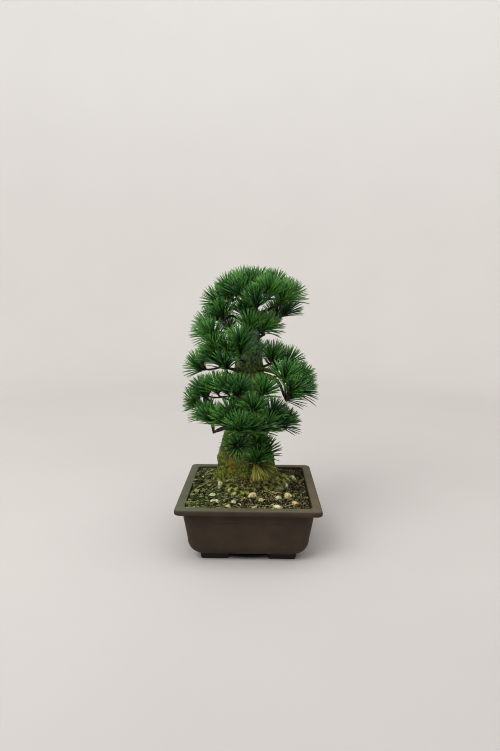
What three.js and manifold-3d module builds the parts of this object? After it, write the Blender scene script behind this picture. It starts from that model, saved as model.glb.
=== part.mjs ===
// A five-needle pine trained as a bonsai, in a rectangular brown clay pot.
// Millimetres, +Z up, the front of the pot towards -Y. The origin is the middle of the plane that
// the pot's four feet stand on.
//
// Pot, soil, moss, trunk (with its limbs, one grown piece), loose stones, and one solid for each
// spray of shoots. A shoot ends in a small egg-shaped bud, and every upper face of that egg is drawn
// out into one bundle of needles.

import * as THREE from 'three';
import { mergeVertices } from 'three/addons/utils/BufferGeometryUtils.js';
import Module from 'manifold-3d';

const wasm = await Module();
wasm.setup();

const GAP = 0.3; // clear space between two pieces that touch

// Pot
const POT_WIDTH = 260; // over the rim, along X
const POT_DEPTH = 270; // over the rim, along Y
const POT_HEIGHT = 107;
const RIM_WIDTH = 17.5; // flat top of the rim, outer edge to inner edge
const RIM_THICKNESS = 11;
const RIM_OVERHANG = 12.5; // how far the rim stands out over the wall
const RIM_CORNER = 8; // plan radius
const FOOT_HEIGHT = 9;
const FLOOR_TOP = 15; // inside floor of the pot
const WALL_CURVE_TOP = 42; // height where the straight wall turns in to the base
const WALL_TAPER = 7.5; // inset of the straight wall from the rim down to that height
const WALL_CURVE_REACH = 26; // further inset of the round turn down to the base
const FOOT = { length: 53, depth: 34, outerX: 88, outerY: 96, sink: 5, taper: 1.5 };
const DRAIN = { radius: 9, offsetX: 46 };

// Soil and moss
const SOIL_EDGE = 98; // height of the soil along the wall
const MOUND_RISE = 6; // extra height of the soil under the moss
const GRAIN = 1.3; // half height of the gravel's relief
const GRID = 20; // relief cells along each side of the pot
const MOSS = { x: -8, y: 28, radiusX: 84, radiusY: 80, bed: 103, edge: 2.4, crown: 14, lump: 2 };

// Trunk: height, middle in X and Y, radius
const TRUNK_SECTIONS = [
  [62, -8, 38, 30],
  [96, -8, 38, 38],
  [107, -8, 38, 62],
  [120, -8, 38, 60],
  [136, -8, 37, 56],
  [154, -7, 36, 54],
  [172, -8, 35, 50],
  [192, -9, 33, 45],
  [214, -9, 31, 42],
  [240, -7, 29, 38],
  [268, -6, 27, 34],
  [300, -4, 25, 30],
  [332, -3, 23, 28],
  [364, -2, 21, 25],
  [396, 0, 18, 20],
  [424, 2, 15, 13.5],
  [450, 5, 11, 9.5],
  [470, 9, 9, 6.5],
];
const TRUNK_SIDES = 16;
const TRUNK_FLAT = 0.86; // the trunk's depth over its width
const ROOTS = { count: 5, swell: 0.2, top: 205, bottom: 96 }; // buttress roots and where they fade
const BARK_RELIEF = 0.045; // bumps, as a share of the radius

// Needles and shoots
const NEEDLE_REACH = 42; // from the heart of the bud to the needle tips
const WITHERED_REACH = 32; // the old yellow needles
const NEEDLE_LEAST = 10; // shorter bundles are left out
const NEEDLE_ROOT = 2.2; // half width of a bundle at the bud
const NEEDLE_RISE = 0.3; // how strongly bundles turn up towards the light
const NEEDLE_CLEAR = 0.5; // space kept to wood and to the next shoot's needles
const BUD = { length: 5.2, radius: 4.2, rings: [[26, 4], [52, 7], [80, 9]], heart: 6 };
const TWIG = { start: 2.3, end: 1.7, sides: 4, steps: 2 };
const LIMB = { start: 6, end: 3.2, sides: 5 };
const FORK = 7; // length of a spray's stem before it forks
const SPREAD_LIMIT = [POT_WIDTH / 2 - 0.5, POT_DEPTH / 2 - 0.5]; // the crown stays over the pot

// Each spray: the height where its limb leaves the trunk, the limb's bends, the limb's end, and its
// shoots as [x, y, z of the base, heading, lift]. Heading 0 points right, 90 to the back, -90 to the
// front; lift is the angle above level.
const SPRAYS = [
  { name: 'crown_left', leaves: 446, end: [-20, -2, 468],
    shoots: [[-31, -12, 481, 188, 46], [-53, 4, 463, 186, 14], [-40, 26, 469, 140, 50]] },
  { name: 'crown_front', leaves: 430, end: [4, -14, 450],
    shoots: [[11, -48, 458, -92, 66], [-13, -30, 474, -108, 66], [32, -46, 475, -72, 66]] },
  { name: 'crown_right', leaves: 438, end: [34, -6, 452],
    shoots: [[56, -32, 466, -62, 58], [67, -12, 469, -5, 46]] },
  { name: 'crown_top', leaves: 460, end: [13, 9, 476],
    shoots: [[14, 8, 490, 90, 85], [40, 14, 489, 40, 62], [-11, 20, 492, 150, 66],
      [-1, -14, 487, -95, 76]] },
  { name: 'crown_back', leaves: 440, end: [14, 34, 466],
    shoots: [[22, 62, 487, 90, 48], [-26, 50, 484, 130, 44], [59, 42, 477, 45, 48]] },
  { name: 'upper_left', leaves: 422, end: [-34, 24, 438],
    shoots: [[-58, 22, 430, 164, 48]] },
  { name: 'upper_right', leaves: 402, end: [38, 18, 420],
    shoots: [[49, 22, 434, 60, 70], [62, 12, 441, 12, 56]] },
  { name: 'second_left', leaves: 368, end: [-50, -14, 388],
    shoots: [[-72, -8, 402, 186, 32], [-66, -44, 396, 215, 66], [-59, -50, 379, 205, 50],
      [-38, -40, 371, -100, 56]] },
  { name: 'second_front', leaves: 380, end: [-16, -22, 394],
    shoots: [[-49, -14, 435, -120, 68], [-17, -62, 386, -92, 66], [-8, -18, 440, -110, 64],
      [0, -40, 413, -90, 66]] },
  { name: 'second_right', leaves: 388, end: [22, 0, 402],
    shoots: [[20, -22, 412, -35, 50], [24, 4, 414, 5, 32]] },
  { name: 'second_back', leaves: 378, end: [-24, 42, 398],
    shoots: [[-42, 60, 407, 112, 45], [10, 66, 407, 75, 45], [-76, 34, 414, 155, 42]] },
  { name: 'third_left', leaves: 328, end: [-48, -14, 342],
    shoots: [[-86, -18, 340, 187, 22], [-61, -34, 357, 205, 52]] },
  { name: 'third_left_front', leaves: 316, end: [-34, -26, 330],
    shoots: [[-43, -52, 346, -110, 58]] },
  { name: 'third_front', leaves: 346, end: [-18, -20, 358],
    shoots: [[-18, -38, 369, -95, 52]] },
  { name: 'third_back', leaves: 334, end: [-20, 48, 348],
    shoots: [[-71, 44, 346, 150, 40], [-35, 78, 355, 108, 44], [11, 74, 351, 75, 44]] },
  { name: 'right_upper', leaves: 328, end: [34, 4, 346],
    shoots: [[41, -12, 354, -65, 74], [67, 4, 344, -5, 50]] },
  { name: 'right_mid', leaves: 340, bends: [[48, -12, 333]], end: [62, -24, 323],
    shoots: [[84, -20, 320, -8, 36], [63, -55, 324, -75, 60]] },
  { name: 'right_lower', leaves: 332, bends: [[50, -18, 319]], end: [66, -39, 290],
    shoots: [[73, -62, 303, -45, 46], [90, -34, 300, -10, 22], [68, -38, 287, -22, 34]] },
  { name: 'right_back', leaves: 304, end: [52, 30, 320],
    shoots: [[75, 40, 319, 40, 42], [48, 64, 328, 75, 44], [93, 8, 310, 18, 36]] },
  { name: 'fourth_left', leaves: 252, end: [-58, -4, 262],
    shoots: [[-81, -32, 289, 200, 62], [-97, -12, 270, 184, 24]] },
  { name: 'fourth_front', leaves: 268, end: [-20, -34, 280],
    shoots: [[-60, -42, 299, -118, 66], [-19, -66, 299, -95, 62], [22, -56, 298, -46, 48],
      [-39, -60, 303, -108, 60]] },
  { name: 'fourth_back', leaves: 256, end: [-34, 60, 270],
    shoots: [[-89, 42, 281, 150, 42], [-47, 82, 276, 108, 44], [15, 82, 275, 72, 44]] },
  { name: 'fifth_left', leaves: 220, bends: [[-56, -6, 221]], end: [-65, -22, 220],
    shoots: [[-78, -18, 248, 184, 44], [-69, -42, 241, 205, 62], [-43, -58, 242, -115, 56]] },
  { name: 'fifth_front', leaves: 228, end: [-22, -46, 236],
    shoots: [[-31, -64, 256, -105, 62], [-16, -86, 237, -94, 52], [7, -68, 267, -80, 62]] },
  { name: 'fifth_right_front', leaves: 230, end: [18, -32, 232],
    shoots: [[2, -76, 235, -72, 52], [25, -60, 233, -35, 48], [37, -34, 252, -30, 54]] },
  { name: 'fifth_right', leaves: 214, bends: [[42, 1, 222]], end: [53, -2, 221],
    shoots: [[58, -18, 232, -20, 32], [55, 20, 226, 35, 42]] },
  { name: 'fifth_back', leaves: 206, end: [-8, 74, 218],
    shoots: [[-63, 66, 216, 128, 42], [-10, 94, 221, 95, 44], [37, 70, 214, 50, 42]] },
  { name: 'low_front', leaves: 186, end: [-20, -20, 196],
    shoots: [[-21, -38, 198, -92, 10]] },
  { name: 'low_right', leaves: 158, end: [20, -16, 164],
    shoots: [[13, -42, 167, -70, 60], [24, -28, 175, -28, 52], [14, -34, 194, -82, 72]] },
  { name: 'old_needles', leaves: 146, end: [2, -22, 152], withered: true,
    shoots: [[11, -40, 163, -52, -52], [22, -34, 161, -25, -34]] },
];

// Loose stones on the soil: x, y, length, width, height, turn in degrees, tint
const STONES = [
  ['stone_left_upright', -56, -28, 11, 7, 17, 20, '#b9bd93'],
  ['stone_left_green', -95, 46, 12, 7, 7, 50, '#8c9a76'],
  ['stone_left_middle', -68, -52, 13, 10, 9, -20, '#a3a982'],
  ['stone_left_flat', -63, -73, 15, 9, 7, 10, '#b5b592'],
  ['stone_front_yellow', -37, -96, 13, 9, 8, 0, '#b3a663'],
  ['stone_front_beige', 7, -58, 21, 10, 12, 25, '#b9aa84'],
  ['stone_front_small', 22, -71, 12, 8, 8, -15, '#aca06e'],
  ['stone_front_pale', 51, -98, 18, 10, 11, -20, '#c4bb96'],
  ['stone_right_small', 56, -56, 13, 8, 7, 15, '#a8a47c'],
  ['stone_right_mossy', 56, -24, 24, 18, 10, 10, '#5e7458'],
  ['stone_right_cream', 73, -50, 17, 13, 13, 40, '#cdb878'],
  ['stone_right_orange', 84, -81, 14, 10, 9, -10, '#c9a468'],
  ['stone_right_edge', 73, -1, 12, 6, 11, 70, '#b0a67e'],
  ['stone_back_tan', 89, 48, 14, 9, 11, -40, '#a89c70'],
];

const COLOURS = {
  pot: ['#43392f', 0.62],
  soil: ['#4a4a3e', 0.95],
  moss: ['#55602a', 0.98],
  trunk: ['#5b5b44', 0.92],
  needles: ['#1f5a2c', 0.5],
  withered: ['#8a8a35', 0.6],
};

// One repeatable draw between -1 and 1 for each whole number.
function draw(seed) {
  const wave = Math.sin(seed * 127.1 + 11.7) * 43758.5453;
  return 2 * (wave - Math.floor(wave)) - 1;
}

function mix(a, b, share) {
  return a + (b - a) * share;
}

function vector(point) {
  return new THREE.Vector3(point[0], point[1], point[2]);
}

// ---- Solids and booleans

function toSolid(geometry) {
  const plain = geometry.clone();
  plain.deleteAttribute('normal');
  plain.deleteAttribute('uv');
  const merged = mergeVertices(plain, 1e-4);
  return new wasm.Manifold(new wasm.Mesh({
    numProp: 3,
    vertProperties: new Float32Array(merged.attributes.position.array),
    triVerts: new Uint32Array(merged.index.array),
  }));
}

function toGeometry(solid) {
  const mesh = solid.getMesh();
  const geometry = new THREE.BufferGeometry();
  geometry.setAttribute('position', new THREE.BufferAttribute(new Float32Array(mesh.vertProperties), 3));
  geometry.setIndex(new THREE.BufferAttribute(new Uint32Array(mesh.triVerts), 1));
  return geometry;
}

function joined(solids) {
  return solids.reduce((sum, solid) => sum.add(solid));
}

// Drops the crumbs that a cut leaves.
function largest(solid) {
  const bodies = solid.decompose();
  return bodies.reduce((best, body) => (body.volume() > best.volume() ? body : best));
}

function indexed(points, triangles) {
  const geometry = new THREE.BufferGeometry();
  geometry.setAttribute('position', new THREE.Float32BufferAttribute(points.flatMap((p) => p.toArray()), 3));
  geometry.setIndex(triangles.flat());
  return geometry;
}

// Skin over rings of equal point counts that turn anticlockwise seen from the last ring's side,
// closed by a flat fan at each end.
function loft(rings) {
  const count = rings[0].length;
  const points = rings.flat();
  const triangles = [];
  for (let ring = 0; ring + 1 < rings.length; ring += 1) {
    for (let i = 0; i < count; i += 1) {
      const a = ring * count + i;
      const b = ring * count + (i + 1) % count;
      triangles.push([a, b, b + count], [a, b + count, a + count]);
    }
  }
  const middle = (ring) => ring.reduce((sum, p) => sum.add(p), new THREE.Vector3()).divideScalar(count);
  const first = points.push(middle(rings[0])) - 1;
  const last = points.push(middle(rings[rings.length - 1])) - 1;
  const top = (rings.length - 1) * count;
  for (let i = 0; i < count; i += 1) {
    const next = (i + 1) % count;
    triangles.push([first, next, i], [last, top + i, top + next]);
  }
  return indexed(points, triangles);
}

// A direction square to an axis.
function sideOf(axis) {
  const side = new THREE.Vector3(0, 0, 1).cross(axis);
  if (side.length() < 0.2) side.set(1, 0, 0).cross(axis);
  return side.normalize();
}

// Rings round a curve, thinning from one radius to the other. The last ring starts towards side, and
// the others follow it without twisting.
function ringsAlong(curve, { start, end, sides, steps }, side) {
  const rings = [];
  const normal = side.clone();
  for (let step = steps; step >= 0; step -= 1) {
    const tangent = curve.getTangentAt(step / steps);
    normal.addScaledVector(tangent, -normal.dot(tangent)).normalize();
    const binormal = tangent.clone().cross(normal);
    const radius = mix(start, end, step / steps);
    const ring = [];
    for (let i = 0; i < sides; i += 1) {
      const angle = (2 * Math.PI * i) / sides;
      ring.push(curve.getPointAt(step / steps)
        .addScaledVector(normal, radius * Math.cos(angle))
        .addScaledVector(binormal, radius * Math.sin(angle)));
    }
    rings.unshift(ring);
  }
  return rings;
}

function bar(curve, profile) {
  return toSolid(loft(ringsAlong(curve, profile, sideOf(curve.getTangentAt(1)))));
}

// ---- Pot

// Level outline of a rectangle with round corners, inset from the rim's outer edge.
function potOutline(inset, corner, z) {
  const steps = 4;
  const halfX = POT_WIDTH / 2 - inset - corner;
  const halfY = POT_DEPTH / 2 - inset - corner;
  const ring = [];
  for (const [sx, sy, from] of [[1, 1, 0], [-1, 1, 90], [-1, -1, 180], [1, -1, 270]]) {
    for (let i = 0; i <= steps; i += 1) {
      const angle = THREE.MathUtils.degToRad(from + (90 * i) / steps);
      ring.push(new THREE.Vector3(
        sx * halfX + corner * Math.cos(angle), sy * halfY + corner * Math.sin(angle), z));
    }
  }
  return ring;
}

// Wall from the base up to the rim: a quarter ellipse, then a straight taper.
function wallRings({ bottom, top, inset, taper, reach, corner, fullness }) {
  const rings = [];
  const turnSteps = 4;
  for (let i = 0; i < turnSteps; i += 1) {
    const angle = (Math.PI / 2) * (1 - i / turnSteps);
    const depth = inset + taper + reach * (1 - Math.cos(angle));
    const z = WALL_CURVE_TOP - (WALL_CURVE_TOP - bottom) * Math.sin(angle);
    rings.push(potOutline(depth, mix(fullness, corner, i / turnSteps), z));
  }
  rings.push(potOutline(inset + taper, corner, WALL_CURVE_TOP));
  rings.push(potOutline(inset, corner, top));
  return rings;
}

function potHollow(grow) {
  const taper = WALL_TAPER + 1.5;
  const rings = wallRings({
    bottom: FLOOR_TOP - grow,
    top: POT_HEIGHT - 1.5,
    inset: RIM_WIDTH - grow,
    taper,
    reach: 26,
    corner: 9,
    fullness: 24,
  });
  rings.push(potOutline(RIM_WIDTH - 1.5 - grow, 10, POT_HEIGHT));
  rings.push(potOutline(RIM_WIDTH - 1.5 - grow, 10, POT_HEIGHT + 40));
  return toSolid(loft(rings));
}

function foot(sx, sy) {
  const ring = (z, shrink) => {
    const x0 = sx * (FOOT.outerX - shrink);
    const x1 = sx * (FOOT.outerX - FOOT.length + shrink);
    const y0 = sy * (FOOT.outerY - shrink);
    const y1 = sy * (FOOT.outerY - FOOT.depth + shrink);
    const corners = [[x0, y0], [x1, y0], [x1, y1], [x0, y1]];
    const turned = sx * sy > 0 ? corners : corners.reverse();
    return turned.map(([x, y]) => new THREE.Vector3(x, y, z));
  };
  return toSolid(loft([ring(0, FOOT.taper), ring(FOOT_HEIGHT + FOOT.sink, 0)]));
}

function potSolid() {
  const rimBottom = POT_HEIGHT - RIM_THICKNESS;
  const rings = wallRings({
    bottom: FOOT_HEIGHT,
    top: rimBottom,
    inset: RIM_OVERHANG,
    taper: WALL_TAPER,
    reach: WALL_CURVE_REACH,
    corner: 18,
    fullness: 18,
  });
  rings.push(potOutline(2, RIM_CORNER, rimBottom + 0.6));
  rings.push(potOutline(0.3, RIM_CORNER, rimBottom + 2.5));
  rings.push(potOutline(0, RIM_CORNER, POT_HEIGHT - 2));
  rings.push(potOutline(0.7, RIM_CORNER, POT_HEIGHT - 0.6));
  rings.push(potOutline(2, RIM_CORNER, POT_HEIGHT));
  const feet = [[1, 1], [-1, 1], [-1, -1], [1, -1]].map(([sx, sy]) => foot(sx, sy));
  let pot = joined([toSolid(loft(rings)), ...feet]).subtract(potHollow(0));
  for (const side of [-1, 1]) {
    const hole = new THREE.CylinderGeometry(DRAIN.radius, DRAIN.radius, 2 * FLOOR_TOP, 16);
    hole.rotateX(Math.PI / 2);
    hole.translate(side * DRAIN.offsetX, 0, FLOOR_TOP);
    pot = pot.subtract(toSolid(hole));
  }
  return pot;
}

// ---- Soil and moss

// Distance from the middle of the moss, as a share of the way to its edge.
function mossShare(x, y) {
  return Math.hypot((x - MOSS.x) / MOSS.radiusX, (y - MOSS.y) / MOSS.radiusY);
}

// The soil is level under the moss and falls gently from there to the wall.
function soilHeight(x, y) {
  const fall = THREE.MathUtils.smoothstep(mossShare(x, y), 0.95, 1.6);
  return SOIL_EDGE + MOUND_RISE * (1 - fall);
}

function grainHeight(x, y, seed) {
  const bare = THREE.MathUtils.smoothstep(mossShare(x, y), 0.9, 1.05);
  return GRAIN * bare * draw(seed + 1800);
}

// Moss over the soil, without its lumps: a low edge, rising towards the trunk.
function mossDome(x, y) {
  return MOSS.edge + MOSS.crown * THREE.MathUtils.clamp((1 - mossShare(x, y)) / 0.35, 0, 1) ** 0.8;
}

function mossThickness(x, y, seed) {
  return mossDome(x, y) + MOSS.lump * (0.5 + 0.5 * draw(seed + 0.5));
}

// Block whose top is a jittered grid over the pot; lift(x, y, seed) is added to the soil's height.
function reliefBlock(lift) {
  const points = [];
  const triangles = [];
  const side = GRID + 1;
  for (const level of ['top', 'bottom']) {
    for (let row = 0; row < side; row += 1) {
      for (let column = 0; column < side; column += 1) {
        const seed = row * side + column;
        const cellX = POT_WIDTH / GRID;
        const cellY = POT_DEPTH / GRID;
        const x = -POT_WIDTH / 2 + cellX * (column + 0.3 * draw(seed));
        const y = -POT_DEPTH / 2 + cellY * (row + 0.3 * draw(seed + 900));
        const z = soilHeight(x, y) + grainHeight(x, y, seed) + lift(x, y, seed);
        points.push(new THREE.Vector3(x, y, level === 'top' ? z : 0));
      }
    }
  }
  const under = side * side;
  for (let row = 0; row < GRID; row += 1) {
    for (let column = 0; column < GRID; column += 1) {
      const a = row * side + column;
      const b = a + 1;
      const c = b + side;
      const d = a + side;
      triangles.push([a, b, c], [a, c, d]);
      triangles.push([under + a, under + c, under + b], [under + a, under + d, under + c]);
    }
  }
  const wall = (from, to) => triangles.push([from, under + to, to], [from, under + from, under + to]);
  for (let i = 0; i < GRID; i += 1) {
    wall(i, i + 1);
    wall(GRID * side + i + 1, GRID * side + i);
    wall((i + 1) * side, i * side);
    wall(i * side + GRID, (i + 1) * side + GRID);
  }
  return toSolid(indexed(points, triangles));
}

// Upright block with the moss's wavy outline, above a given height.
function mossColumn(bottom, grow) {
  const sides = 40;
  const ring = (z) => {
    const points = [];
    for (let i = 0; i < sides; i += 1) {
      const angle = (2 * Math.PI * i) / sides;
      const wave = 1 + 0.06 * Math.sin(3 * angle + 1) + 0.05 * Math.sin(7 * angle) + 0.03 * draw(i + 60);
      points.push(new THREE.Vector3(
        MOSS.x + (MOSS.radiusX * wave + grow) * Math.cos(angle),
        MOSS.y + (MOSS.radiusY * wave + grow) * Math.sin(angle), z));
    }
    return points;
  };
  return toSolid(loft([ring(bottom), ring(POT_HEIGHT * 2)]));
}

// ---- Trunk

// Rings of the trunk, made wider by grow for the hole that it stands in.
function trunkRings(grow) {
  return TRUNK_SECTIONS.map(([z, x, y, radius], level) => {
    const ring = [];
    const rise = THREE.MathUtils.clamp((ROOTS.top - z) / (ROOTS.top - ROOTS.bottom), 0, 1);
    for (let i = 0; i < TRUNK_SIDES; i += 1) {
      const angle = (2 * Math.PI * i) / TRUNK_SIDES;
      const root = ROOTS.swell * rise * rise * Math.cos(ROOTS.count * angle + 0.7);
      const bark = BARK_RELIEF * draw(level * TRUNK_SIDES + i);
      const wide = level < 2 ? 1 : 1 + root + bark;
      ring.push(new THREE.Vector3(
        x + (radius * wide + grow) * Math.cos(angle),
        y + (radius * wide + grow) * Math.sin(angle) * TRUNK_FLAT,
        z - (level === 0 ? grow : 0)));
    }
    return ring;
  });
}

function trunkMiddle(z) {
  const above = TRUNK_SECTIONS.findIndex((section) => section[0] > z);
  const [z0, x0, y0, r0] = TRUNK_SECTIONS[above - 1];
  const [z1, x1, y1, r1] = TRUNK_SECTIONS[above];
  const share = (z - z0) / (z1 - z0);
  return { point: new THREE.Vector3(mix(x0, x1, share), mix(y0, y1, share), z), radius: mix(r0, r1, share) };
}

function limbCurve(spray) {
  const { point } = trunkMiddle(spray.leaves);
  const stops = [point, ...(spray.bends ?? []).map(vector), vector(spray.end)];
  return new THREE.CatmullRomCurve3(stops, false, 'centripetal');
}

// ---- Shoots

function aim(heading, lift) {
  const turn = THREE.MathUtils.degToRad(heading);
  const rise = THREE.MathUtils.degToRad(lift);
  return new THREE.Vector3(Math.cos(turn) * Math.cos(rise), Math.sin(turn) * Math.cos(rise), Math.sin(rise));
}

// The shoot's place and axis, with the twig that carries it from where the spray forks.
function layShoot(spray, start, forward, [x, y, z, heading, lift], seed) {
  const base = new THREE.Vector3(x, y, z);
  const axis = aim(heading, lift);
  const reach = base.distanceTo(start) * 0.35;
  const leave = base.clone().sub(start).normalize().addScaledVector(forward, 0.3).normalize();
  if (spray.shoots.length === 1) leave.copy(forward);
  const twig = new THREE.CubicBezierCurve3(
    start,
    start.clone().addScaledVector(leave, reach),
    base.clone().addScaledVector(axis, -reach),
    base);
  const heart = base.clone().addScaledVector(axis, BUD.heart);
  return { heart, axis, twig, seed, withered: spray.withered };
}

// A spray begins face to face with its limb; a spray of several shoots has a short stem first.
function laySpray(spray, number) {
  const limb = limbCurve(spray);
  const forward = limb.getTangentAt(1);
  const root = limb.getPointAt(1).addScaledVector(forward, GAP);
  const forked = spray.shoots.length > 1;
  const fork = root.clone().addScaledVector(forward, FORK);
  const start = forked ? fork.clone().addScaledVector(forward, -2) : root;
  const shoots = spray.shoots.map((shoot, i) => layShoot(spray, start, forward, shoot, number * 10 + i));
  const stem = forked ? new THREE.LineCurve3(root, fork) : null;
  return { ...spray, limb, stem, shoots };
}

// Straight capsules along a curve, to keep needles off the wood.
function capsules(curve, startRadius, endRadius, owner) {
  const steps = 6;
  const list = [];
  for (let i = 0; i < steps; i += 1) {
    const radius = mix(startRadius, endRadius, i / steps);
    list.push({ from: curve.getPointAt(i / steps), to: curve.getPointAt((i + 1) / steps), radius, owner });
  }
  return list;
}

function woodCapsules(sprays) {
  const list = [];
  for (let i = 0; i + 1 < TRUNK_SECTIONS.length; i += 1) {
    const [z0, x0, y0, r0] = TRUNK_SECTIONS[i];
    const [z1, x1, y1] = TRUNK_SECTIONS[i + 1];
    const radius = r0 * (z0 < ROOTS.top ? 1.1 : 1 + BARK_RELIEF);
    list.push({ from: new THREE.Vector3(x0, y0, z0), to: new THREE.Vector3(x1, y1, z1), radius });
  }
  for (const spray of sprays) {
    list.push(...capsules(spray.limb, LIMB.start, LIMB.end));
    if (spray.stem) list.push(...capsules(spray.stem, LIMB.end, LIMB.end));
    for (const shoot of spray.shoots) list.push(...capsules(shoot.twig, TWIG.start, TWIG.end, shoot));
  }
  return list;
}

// How far a needle bundle can reach from the bud's heart along a direction: to the half-way plane to
// every other bud, clear of all wood and of the moss, and over the pot.
function needleReach(shoot, direction, shoots, wood) {
  let reach = shoot.withered ? WITHERED_REACH : NEEDLE_REACH;
  const between = new THREE.Vector3();
  for (const other of shoots) {
    if (other === shoot) continue;
    between.subVectors(other.heart, shoot.heart);
    const spacing = between.length();
    const closing = between.dot(direction) / spacing;
    if (closing > 0) reach = Math.min(reach, (spacing / 2 - NEEDLE_CLEAR) / closing);
  }
  const reachable = (piece, end) => end.distanceTo(shoot.heart) < reach + piece.radius + 25;
  const near = wood.filter((piece) => (
    piece.owner !== shoot && (reachable(piece, piece.from) || reachable(piece, piece.to))));
  const tip = new THREE.Vector3();
  const closest = new THREE.Vector3();
  const line = new THREE.Line3();
  for (let travelled = BUD.radius; travelled <= reach; travelled += 1) {
    tip.copy(shoot.heart).addScaledVector(direction, travelled);
    const halfWidth = NEEDLE_ROOT * Math.max(0, 1 - travelled / NEEDLE_REACH);
    const blocked = near.some((piece) => {
      line.set(piece.from, piece.to).closestPointToPoint(tip, true, closest);
      return closest.distanceTo(tip) < piece.radius + halfWidth + NEEDLE_CLEAR;
    });
    const low = tip.z < soilHeight(tip.x, tip.y) + MOSS.edge + MOSS.crown + MOSS.lump;
    const out = Math.abs(tip.x) > SPREAD_LIMIT[0] || Math.abs(tip.y) > SPREAD_LIMIT[1];
    if (blocked || low || out) return travelled - 1;
  }
  return reach;
}

function closed(ring) {
  return ring.map((point, i) => [point, ring[(i + 1) % ring.length]]);
}

// Strip of triangles between two rings of point numbers that start at the same angle.
function strip(upper, lower) {
  const triangles = [];
  let i = 0;
  let j = 0;
  while (i < upper.length || j < lower.length) {
    const a = upper[i % upper.length];
    const b = lower[j % lower.length];
    if (j >= lower.length || (i < upper.length && (i + 1) / upper.length <= (j + 1) / lower.length)) {
      triangles.push([a, b, upper[(i + 1) % upper.length]]);
      i += 1;
    } else {
      triangles.push([a, b, lower[(j + 1) % lower.length]]);
      j += 1;
    }
  }
  return triangles;
}

// Twig and bud with its needles, as one skin: the bud is an egg of three rings of points on the end
// of the twig, and each face above its waist is raised to a tip.
function shootSolid(shoot, shoots, wood) {
  const side = sideOf(shoot.axis);
  const across = shoot.axis.clone().cross(side);
  const twist = 2 * Math.PI * draw(shoot.seed);
  const start = side.clone().multiplyScalar(Math.cos(twist)).addScaledVector(across, Math.sin(twist));
  const onEgg = (polar, angle) => shoot.heart.clone()
    .addScaledVector(shoot.axis, BUD.length * Math.cos(polar))
    .addScaledVector(side, BUD.radius * Math.sin(polar) * Math.cos(angle + twist))
    .addScaledVector(across, BUD.radius * Math.sin(polar) * Math.sin(angle + twist));
  const points = [onEgg(0, 0)];
  const add = (point) => points.push(point) - 1;
  const [inner, middle, waist] = BUD.rings.map(([polar, count]) => (
    Array.from({ length: count }, (_, i) => {
      const shift = 0.15 * draw(shoot.seed * 31 + i);
      return add(onEgg(THREE.MathUtils.degToRad(polar), (2 * Math.PI * (i + shift)) / count));
    })));
  const twig = ringsAlong(shoot.twig, TWIG, start).reverse().map((ring) => ring.map(add));
  const cap = add(shoot.twig.getPointAt(0));
  const triangles = strip(waist, twig[0]);
  for (let i = 0; i + 1 < twig.length; i += 1) triangles.push(...strip(twig[i], twig[i + 1]));
  triangles.push(...closed(twig[twig.length - 1]).map(([a, b]) => [cap, b, a]));
  const upper = closed(inner).map(([a, b]) => [0, a, b]);
  upper.push(...strip(inner, middle), ...strip(middle, waist));
  for (const [a, b, c] of upper) {
    const direction = points[a].clone().add(points[b]).add(points[c]).divideScalar(3)
      .sub(shoot.heart).normalize();
    if (!shoot.withered) direction.z += NEEDLE_RISE;
    direction.normalize();
    const trim = 1 - 0.06 * (1 + draw(shoot.seed * 53 + a * 7 + b));
    const reach = needleReach(shoot, direction, shoots, wood) * trim;
    if (reach < NEEDLE_LEAST) {
      triangles.push([a, b, c]);
      continue;
    }
    const tip = add(shoot.heart.clone().addScaledVector(direction, reach));
    triangles.push([a, b, tip], [b, c, tip], [c, a, tip]);
  }
  return toSolid(indexed(points, triangles));
}

function spraySolid(spray, shoots, wood) {
  const solids = spray.shoots.map((shoot) => shootSolid(shoot, shoots, wood));
  if (spray.stem) solids.push(bar(spray.stem, { start: LIMB.end, end: LIMB.end, sides: 5, steps: 1 }));
  return joined(solids);
}

// ---- Stones

function stone([, x, y, length, width, height, turn], number) {
  const geometry = new THREE.DodecahedronGeometry(1, 0);
  geometry.deleteAttribute('normal');
  geometry.deleteAttribute('uv');
  const shape = mergeVertices(geometry, 1e-3);
  const corners = shape.attributes.position;
  for (let i = 0; i < corners.count; i += 1) {
    const swell = 1 + 0.14 * draw(number * 50 + i);
    corners.setXYZ(i, corners.getX(i) * swell, corners.getY(i) * swell, corners.getZ(i) * swell);
  }
  shape.scale(length / 2, width / 2, height / 2);
  shape.rotateZ(THREE.MathUtils.degToRad(turn));
  const ground = soilHeight(x, y) + (mossShare(x, y) < 1 ? mossDome(x, y) + MOSS.lump / 2 : 0);
  shape.translate(x, y, ground + height * 0.25);
  return toSolid(shape);
}

// ---- Assembly

function piece(name, solid, [colour, roughness]) {
  const material = new THREE.MeshStandardMaterial({ color: colour, roughness, metalness: 0 });
  const mesh = new THREE.Mesh(toGeometry(solid), material);
  mesh.name = name;
  return mesh;
}

const bonsai = new THREE.Group();

const sprays = SPRAYS.map(laySpray);
const shoots = sprays.flatMap((spray) => spray.shoots);
const wood = woodCapsules(sprays);

const limbs = sprays.map((spray) => {
  const start = Math.min(LIMB.start, trunkMiddle(spray.leaves).radius * 0.6);
  return bar(spray.limb, { ...LIMB, start, steps: spray.bends ? 4 : 2 });
});
const trunk = joined([toSolid(loft(trunkRings(0))), ...limbs]);
const trunkHole = toSolid(loft(trunkRings(GAP)));

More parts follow.
